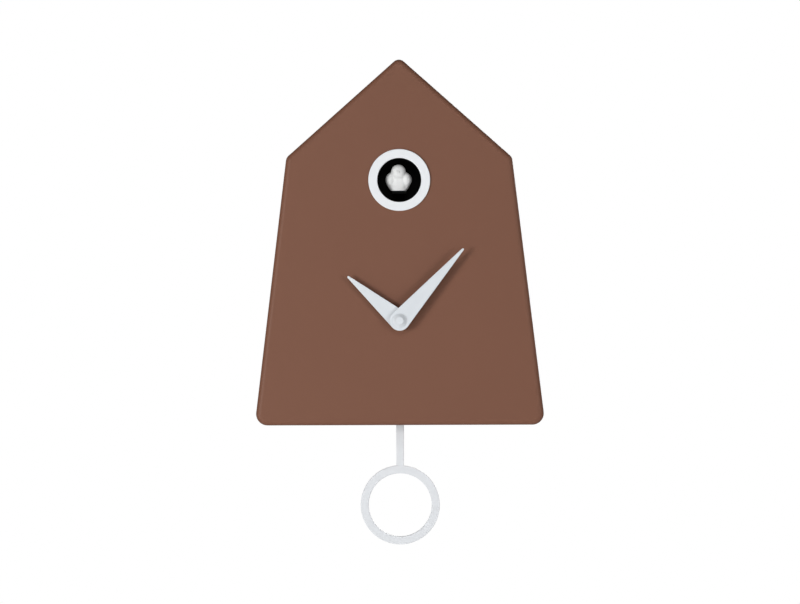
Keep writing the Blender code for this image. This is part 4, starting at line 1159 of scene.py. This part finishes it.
def make_circuit_board():
    """The bare board, and then the parts that stand on it."""

    def outline(inset):
        corners = rectangle(-66.0 + inset, -22.0 - inset, 95.0 + inset, 150.0 - inset)
        return rounded(corners, [1.5] * 4, 5)

    look("circuit_board", soft_plate(outline, BOARD_FRONT, BOARD_BACK, 0.15), BOARD_GREEN)
    make_board_controls()
    make_board_chip()
    make_board_capacitors()
    make_board_resistors()


def on_board(name, shapes, material):
    """Add small parts that stand on the circuit board, as one piece."""
    add_piece(f"board_{name}", merged(shapes), material, "circuit_board")


def make_board_controls():
    """The housings that the volume knob and the mode switch work on."""
    x, z = VOLUME_PLACE
    housing = soft_box(x - 6, x + 6, BOARD_BACK, -9.6, z - 6, z + 6, 0.5)
    on_board("volume_control", [housing, cylinder(2.4, -9.8, -9.4, 32, VOLUME_PLACE)], PLATED_STEEL)
    x, z = SWITCH_PLACE
    on_board("slide_switch", [soft_box(x - 7, x + 7, BOARD_BACK, -8.2, z - 3, z + 3, 0.4)], PLATED_STEEL)


def make_board_chip():
    """A flat chip with seven legs on each side."""
    on_board("chip", [soft_box(-38.0, -28.0, BOARD_BACK + 0.3, -12.0, 126.0, 138.0, 0.2)], BLACK_PLASTIC)
    legs = []
    for k in range(7):
        z = 127.2 + 1.6 * k
        for left, right in ((-39.6, -37.6), (-28.4, -26.4)):
            legs.append(soft_box(left, right, BOARD_BACK, -13.0, z - 0.25, z + 0.25, 0.08, 1))
    on_board("chip_legs", legs, PLATED_STEEL)


def make_board_capacitors():
    """Two cans with a groove near the foot and a bare metal top."""
    cans = []
    tops = []
    for radius, top, place in ((3.0, -7.0, (-60.0, 104.0)), (2.5, -8.0, (-28.0, 104.0))):
        foot = ((0.0, 0.0), (radius, 0.0), (radius, 0.8), (radius - 0.25, 1.1), (radius, 1.4))
        profile = [(reach, BOARD_BACK + rise) for reach, rise in foot]
        profile += [(radius, top), (radius - 0.5, top), (0.0, top)]
        cans.append(turned(softened(profile, 0.2, 3), 48, place))
        disc = radius - 0.7
        bare = [(0.0, top + 0.05), (disc, top + 0.05), (disc, top - 0.3), (0.0, top - 0.3)]
        tops.append(turned(bare, 48, place))
    on_board("capacitors", cans, BLACK_PLASTIC)
    on_board("capacitor_tops", tops, PLATED_STEEL)


def make_board_resistors():
    """Beads with thicker ends, lying flat on the board."""
    places = ((-62.0, 122.0), (-62.0, 117.5), (-50.0, 119.0), (-44.5, 119.0), (-32.0, 144.0), (-46.0, 101.0))
    half = ((0.0, 2.6), (0.9, 2.6), (1.1, 2.0), (0.85, 1.4))
    profile = [(radius, -y) for radius, y in half] + [(radius, y) for radius, y in reversed(half)]
    beads = []
    for x, z in places:
        bead = moved(turned(softened(profile, 0.25, 2), 24), ALONG_X)
        beads.append(shifted(bead, x, BOARD_BACK + 1.1, z))
    on_board("resistors", beads, GEAR_NYLON)


def make_volume_knob():
    """A small ribbed dial with a pointer groove."""
    low, high = node_span("volume_knob")
    dial_front = -7.6
    dial = soft_plate(lambda inset: ribbed_outline(7.0, 0.35, 22, inset), dial_front, high.y, 0.6)
    groove = soft_box(-0.5, 0.5, high.y - 0.9, high.y + 2.0, 1.6, 9.0, 0.2, 2)
    dial = combined(dial, groove, "DIFFERENCE")
    stem = cylinder(2.5, low.y, dial_front + 0.2, 32)
    knob = combined(dial, stem, "UNION")
    look("volume_knob", placed(knob, VOLUME_PLACE), BLACK_PLASTIC)


def make_mode_switch():
    """A slide button with three grip ridges, on its shutter."""
    low, high = node_span("mode_switch")
    switch = soft_box(-4.5, 4.5, low.y, -6.2, -2.7, 2.7, 0.25)
    button = soft_box(-2.0, 2.0, -7.0, high.y - 0.45, -2.0, 2.0)
    ridges = [soft_box(x - 0.3, x + 0.3, high.y - 1.2, high.y, -1.8, 1.8, 0.2, 2) for x in (-1.2, 0.0, 1.2)]
    for shape in (button, *ridges):
        switch = combined(switch, shape, "UNION")
    look("mode_switch", placed(switch, SWITCH_PLACE), BLACK_PLASTIC)


# Power


def cell_film(start, end, place):
    """A film with rolled ends around a cell, from start to end along it."""
    inner = 6.2
    profile = [(inner, start), (CELL_RADIUS, start), (CELL_RADIUS, end), (inner, end)]
    return moved(turned(softened(profile, 0.35, 4), 96), place)


def make_cells():
    """Two cells that lie opposite ways: a film, a band at the plus end, and a can with a nub."""
    half = 24.4
    nub = 25.6
    band_start = 11.0
    can = [
        (0.0, -half),
        (4.6, -half),
        (5.0, -half + 0.3),
        (6.4, -half + 0.3),
        (6.4, half - 0.9),
        (5.4, half - 0.3),
        (2.7, half - 0.1),
        (2.7, nub),
        (0.0, nub),
    ]
    for number, height in enumerate(CELL_HEIGHTS, start=1):
        node = f"battery_cell_{number}"
        turn = ALONG_X if number == 1 else ALONG_X.inverted()
        place = Matrix.Translation((0.0, CELL_Y, height)) @ turn
        look(node, cell_film(-half + 0.1, band_start, place), CELL_BLUE)
        add_piece(f"{node}_band", cell_film(band_start, half - 0.5, place), CELL_SILVER, node)
        add_piece(f"{node}_can", moved(turned(softened(can, 0.3, 3), 64), place), PLATED_STEEL, node)


def spring_points(height, side):
    """A conical coil from the contact sheet to the cell's flat end."""
    turns = 4.5
    steps = 28
    start, end = CONTACT_SHEET_X, 24.9
    points = []
    for k in range(int(turns * steps) + 1):
        share = k / (turns * steps)
        angle = 2 * pi * turns * share
        reach = 4.3 - 2.4 * share
        x = side * (start + (end - start) * share)
        points.append((x, CELL_Y + reach * cos(angle), height + reach * sin(angle)))
    return points


def contact_sheet(side, low, high):
    near, far = sorted((side * CONTACT_SHEET_X, side * (CONTACT_SHEET_X + 0.6)))
    return soft_box(near, far, -19.8, -7.0, low, high, 0.2, 2)


def contact_stop(height, side):
    """The raised spot that meets a cell's nub."""
    stop = turned(softened([(0.0, 26.0), (2.6, 26.0), (3.2, 30.9), (0.0, 30.9)], 0.5, 4), 40)
    turn = Matrix.Rotation(-side * pi / 2, 4, "Z")
    return moved(stop, Matrix.Translation((0.0, CELL_Y, height)) @ turn)


def make_contacts():
    """A sheet with a spring, a sheet with a stop, and the bridge that has both."""
    low, high = CELL_HEIGHTS
    half = 6.0
    wire = 0.32
    contacts = {
        "minus": [contact_sheet(-1, low - half, low + half), tube(spring_points(low, -1), wire)],
        "plus": [contact_sheet(-1, high - half, high + half), contact_stop(high, -1)],
        "bridge": [
            contact_sheet(1, low - half, high + half),
            contact_stop(low, 1),
            tube(spring_points(high, 1), wire),
        ],
    }
    for name, shapes in contacts.items():
        look(f"battery_contact_{name}", merged(shapes), PLATED_STEEL, 50.0)


def make_battery_door():
    """A flap with a rounded hinge edge, grip ridges, cut corners and an arrow that shows where to press."""
    edge = 1.0
    front, back = DOOR_HINGE_Y - edge, DOOR_HINGE_Y + edge
    outline = arc(edge, 180, 360, 16, (DOOR_HINGE_Y, DOOR_HINGE_HEIGHT))
    outline += [(back, DOOR_TOP), (front, DOOR_TOP)]
    panel = across_x(outline, -DOOR_HALF_WIDTH, DOOR_HALF_WIDTH)
    raised = []
    for k in range(5):
        height = DOOR_TOP - 3.4 - 1.7 * k
        half = 9.0 - 1.1 * k
        raised.append(soft_box(-half, half, back - 0.4, back + 0.45, height - 0.45, height + 0.45))
    raised.append(prism([(0.0, 24.0), (4.6, 29.4), (-4.6, 29.4)], back - 0.4, back + 0.3))
    panel = combined(panel, merged(raised), "UNION")
    corners = []
    for side in (-1, 1):
        outer, inner = side * 31.3, side * 29.1
        cut = [(outer, DOOR_TOP + 0.2), (inner, DOOR_TOP + 0.2), (outer, DOOR_TOP - 2.0)]
        corners.append(prism(cut, -8.0, 0.0))
    panel = combined(panel, merged(corners), "DIFFERENCE")
    soften(look("battery_door", panel, COVER_BROWN))


# CAD nodes that keep their shape


def finish_node(node, material, width):
    """Give a CAD node its material, and round its sharp edges by width millimetres."""
    obj = frame["nodes"][node]
    mesh = obj.data
    if mesh.has_custom_normals:
        mesh.attributes.remove(mesh.attributes["custom_normal"])
    mesh.shade_smooth()
    mesh.materials.clear()
    mesh.materials.append(material)
    weld = obj.modifiers.new("weld", "WELD")
    weld.merge_threshold = 0.000002
    round_edges(obj, width, 32.0)


def finish_kept_nodes():
    kept = (
        (BLACK_PLASTIC, 0.25, ("bird_bracket", "pendulum_bracket", "battery_tray")),
        (BLACK_PLASTIC, 0.15, ("movement_front_case", "movement_back_case", "movement_middle_plate")),
        (GEAR_NYLON, 0.06, ("minute_wheel", "hour_wheel", "centre_wheel")),
        (BLACK_PLASTIC, 0.06, ("bird_drive_gear",)),
        (GEAR_NYLON, 0.03, ("third_wheel", "fourth_wheel", "fifth_wheel")),
        (STEEL, 0.08, ("centre_arbor", "motor_rotor", "motor_stator", "movement_washer")),
        (STEEL, 0.2, ("bird_motor", "pendulum_hanger", "pendulum_magnet", "speaker_frame", "speaker_magnet")),
        (STEEL, 0.1, ("pendulum_pivot_pin",)),
        (BRASS, 0.1, ("movement_nut",)),
        (BRASS, 0.05, ("bird_motor_pinion",)),
        (COIL_UPRIGHT, 0.2, ("motor_coil",)),
        (COIL_ROUND, 0.3, ("pendulum_drive_coil",)),
    )
    for material, width, nodes in kept:
        for node in nodes:
            finish_node(node, material, width)


# Wires


def smooth_route(points, steps):
    """Catmull-Rom points through the route's own points."""
    ends = [points[0] * 2 - points[1], *points, points[-1] * 2 - points[-2]]
    route = []
    for before, start, end, after in zip(ends, ends[1:], ends[2:], ends[3:]):
        for k in range(steps):
            t = k / steps
            bend = (before * 2 - start * 5 + end * 4 - after) * t * t
            swing = (start * 3 - before - end * 3 + after) * t * t * t
            route.append((start * 2 + (end - before) * t + bend + swing) / 2)
    return [*route, points[-1]]


def make_wires():
    """Insulated leads between the parts inside the case."""
    board_y = BOARD_FRONT - 0.8
    motor_y = -34.0
    motor_z = node_centre("bird_motor")[1]
    routes = {
        "wire_battery": (
            (-34.0, -16.0, 42.0), (-42.0, -18.0, 46.0), (-54.0, -24.0, 66.0), (-56.0, -22.0, 90.0),
            (-56.0, -19.0, 99.0), (-56.0, board_y, 101.0),
        ),
        "wire_speaker": (
            (-26.0, board_y, 120.0), (-22.0, -21.0, 121.0), (-4.0, -28.0, 124.0), (18.0, -28.0, 125.0),
            (29.0, -22.0, 126.0), (31.6, -20.0, 127.0),
        ),
        "wire_bird_motor": (
            (-40.0, board_y, 145.0), (-41.0, -21.0, 146.5), (-38.0, -30.0, 154.0), (-31.0, motor_y, motor_z),
            (-25.4, motor_y, motor_z),
        ),
        "wire_movement": (
            (-40.0, board_y, 99.0), (-38.0, -22.0, 96.0), (-30.0, -44.0, 84.0), (-24.0, -53.0, 78.0),
            (-20.0, -56.0, 77.0),
        ),
    }
    radius = 0.78
    for node, points in routes.items():
        material = WIRE_RED if SLOT_OF[node] == "wire_red" else WIRE_BLACK
        route = smooth_route([Vector(point) for point in points], 12)
        look(node, tube(route, radius, 4), material, 60.0)


# Studio

# Each light's name, place in metres, size in metres and power in watts
SOFTBOXES = (
    ("left_softbox", (-1.50, -1.75, -0.20), (0.6, 0.8), 30.0),
    ("right_softbox", (1.50, -1.75, -0.20), (0.6, 0.8), 11.6),
    ("high_fill", (0.0, -2.3, 0.90), (1.4, 1.0), 10.5),
    ("low_fill", (0.0, -2.4, -0.60), (1.6, 0.3), 3.0),
    ("back_light", (0.8, 2.5, 0.4), (1.4, 1.4), 48.0),
    ("side_light", (1.9, 0.4, 0.6), (0.8, 1.2), 5.0),
)


def add_softbox(name, place, aim, size, power):
    light = bpy.data.lights.new(name, "AREA")
    light.shape = "RECTANGLE"
    light.size, light.size_y = size
    light.energy = power
    obj = linked(name, light)
    obj.location = place
    obj.rotation_euler = (Vector(aim) - Vector(place)).to_track_quat("-Z", "Y").to_euler()


def make_studio():
    middle = (0.0, -0.07, -0.12)
    for name, place, size, power in SOFTBOXES:
        add_softbox(name, place, middle, size, power)
    make_world()
    make_floor()


def make_world():
    """White where the camera sees it, and a dim grey for the light that it casts."""
    world = bpy.data.worlds.new("studio")
    bpy.context.scene.world = world
    world.use_nodes = True
    tree = world.node_tree
    tree.nodes.clear()
    seen = add_node(tree, "Background", {"Color": (1.0, 1.0, 1.0, 1.0), "Strength": 1.0})
    cast = add_node(tree, "Background", {"Color": (0.95, 0.97, 1.0, 1.0), "Strength": 0.06})
    camera_ray = add_node(tree, "LightPath").outputs["Is Camera Ray"]
    mix = add_node(tree, "MixShader", {"Fac": camera_ray})
    tree.links.new(cast.outputs[0], mix.inputs[1])
    tree.links.new(seen.outputs[0], mix.inputs[2])
    output = add_node(tree, "OutputWorld")
    tree.links.new(mix.outputs[0], output.inputs["Surface"])


def make_floor():
    """A round pale studio floor well below the clock, with its edge rolled down."""
    radius = 2.2
    thickness = 0.04
    top = CAD_BOX[0].z - 0.5
    base = top - thickness
    profile = softened([(0.0, top), (radius, top), (radius, base), (0.0, base)], thickness / 2)
    mesh = mesh_of(moved(turned(profile, 128), SWAP_YZ), "studio_floor")
    surface = Surface("floor_paper")
    tone = surface.spread(surface.noise(160.0, 4.0), 0.0, 1.0)
    surface.feed("Base Color", surface.mix(tone, (0.88, 0.88, 0.88, 1.0), (0.92, 0.92, 0.92, 1.0)))
    surface.roughness(30.0, 4.0, 0.75, 0.9)
    surface.bump(surface.noise(1.5, 4.0), 0.05)
    mesh.materials.append(surface.material)
    floor = linked("studio_floor", mesh)


def make_camera():
    """A long lens straight in front, with the frame's width at the case's face set by its scale."""
    sensor = 36.0
    distance = 2.0
    metres_per_pixel = 0.0007995
    image_width = 800
    aside, height = 0.0003, -0.1566
    tilt = radians(0.18)
    camera = bpy.data.cameras.new("camera")
    camera.sensor_width = sensor
    camera.lens = sensor * distance / (metres_per_pixel * image_width)
    obj = linked("camera", camera)
    obj.location = (aside, (FRONT + EDGE_FILLET) * MM - distance, height)
    obj.rotation_euler = (radians(90.0), tilt, 0.0)
    bpy.context.scene.camera = obj


make_camera()
make_studio()
make_front_shell()
make_rear_cover()
make_cover_screws()
make_bracket_screws()
make_window_ring()
make_bird_tunnel()
make_bird()
make_bird_carriage()
make_hands()
make_hand_cap()
make_set_knob()
make_pendulum_ring()
make_pendulum_rod()
make_speaker_cone()
make_circuit_board()
make_volume_knob()
make_mode_switch()
make_cells()
make_contacts()
make_battery_door()
finish_kept_nodes()
make_wires()

bpy.context.scene.view_settings.view_transform = "Standard"
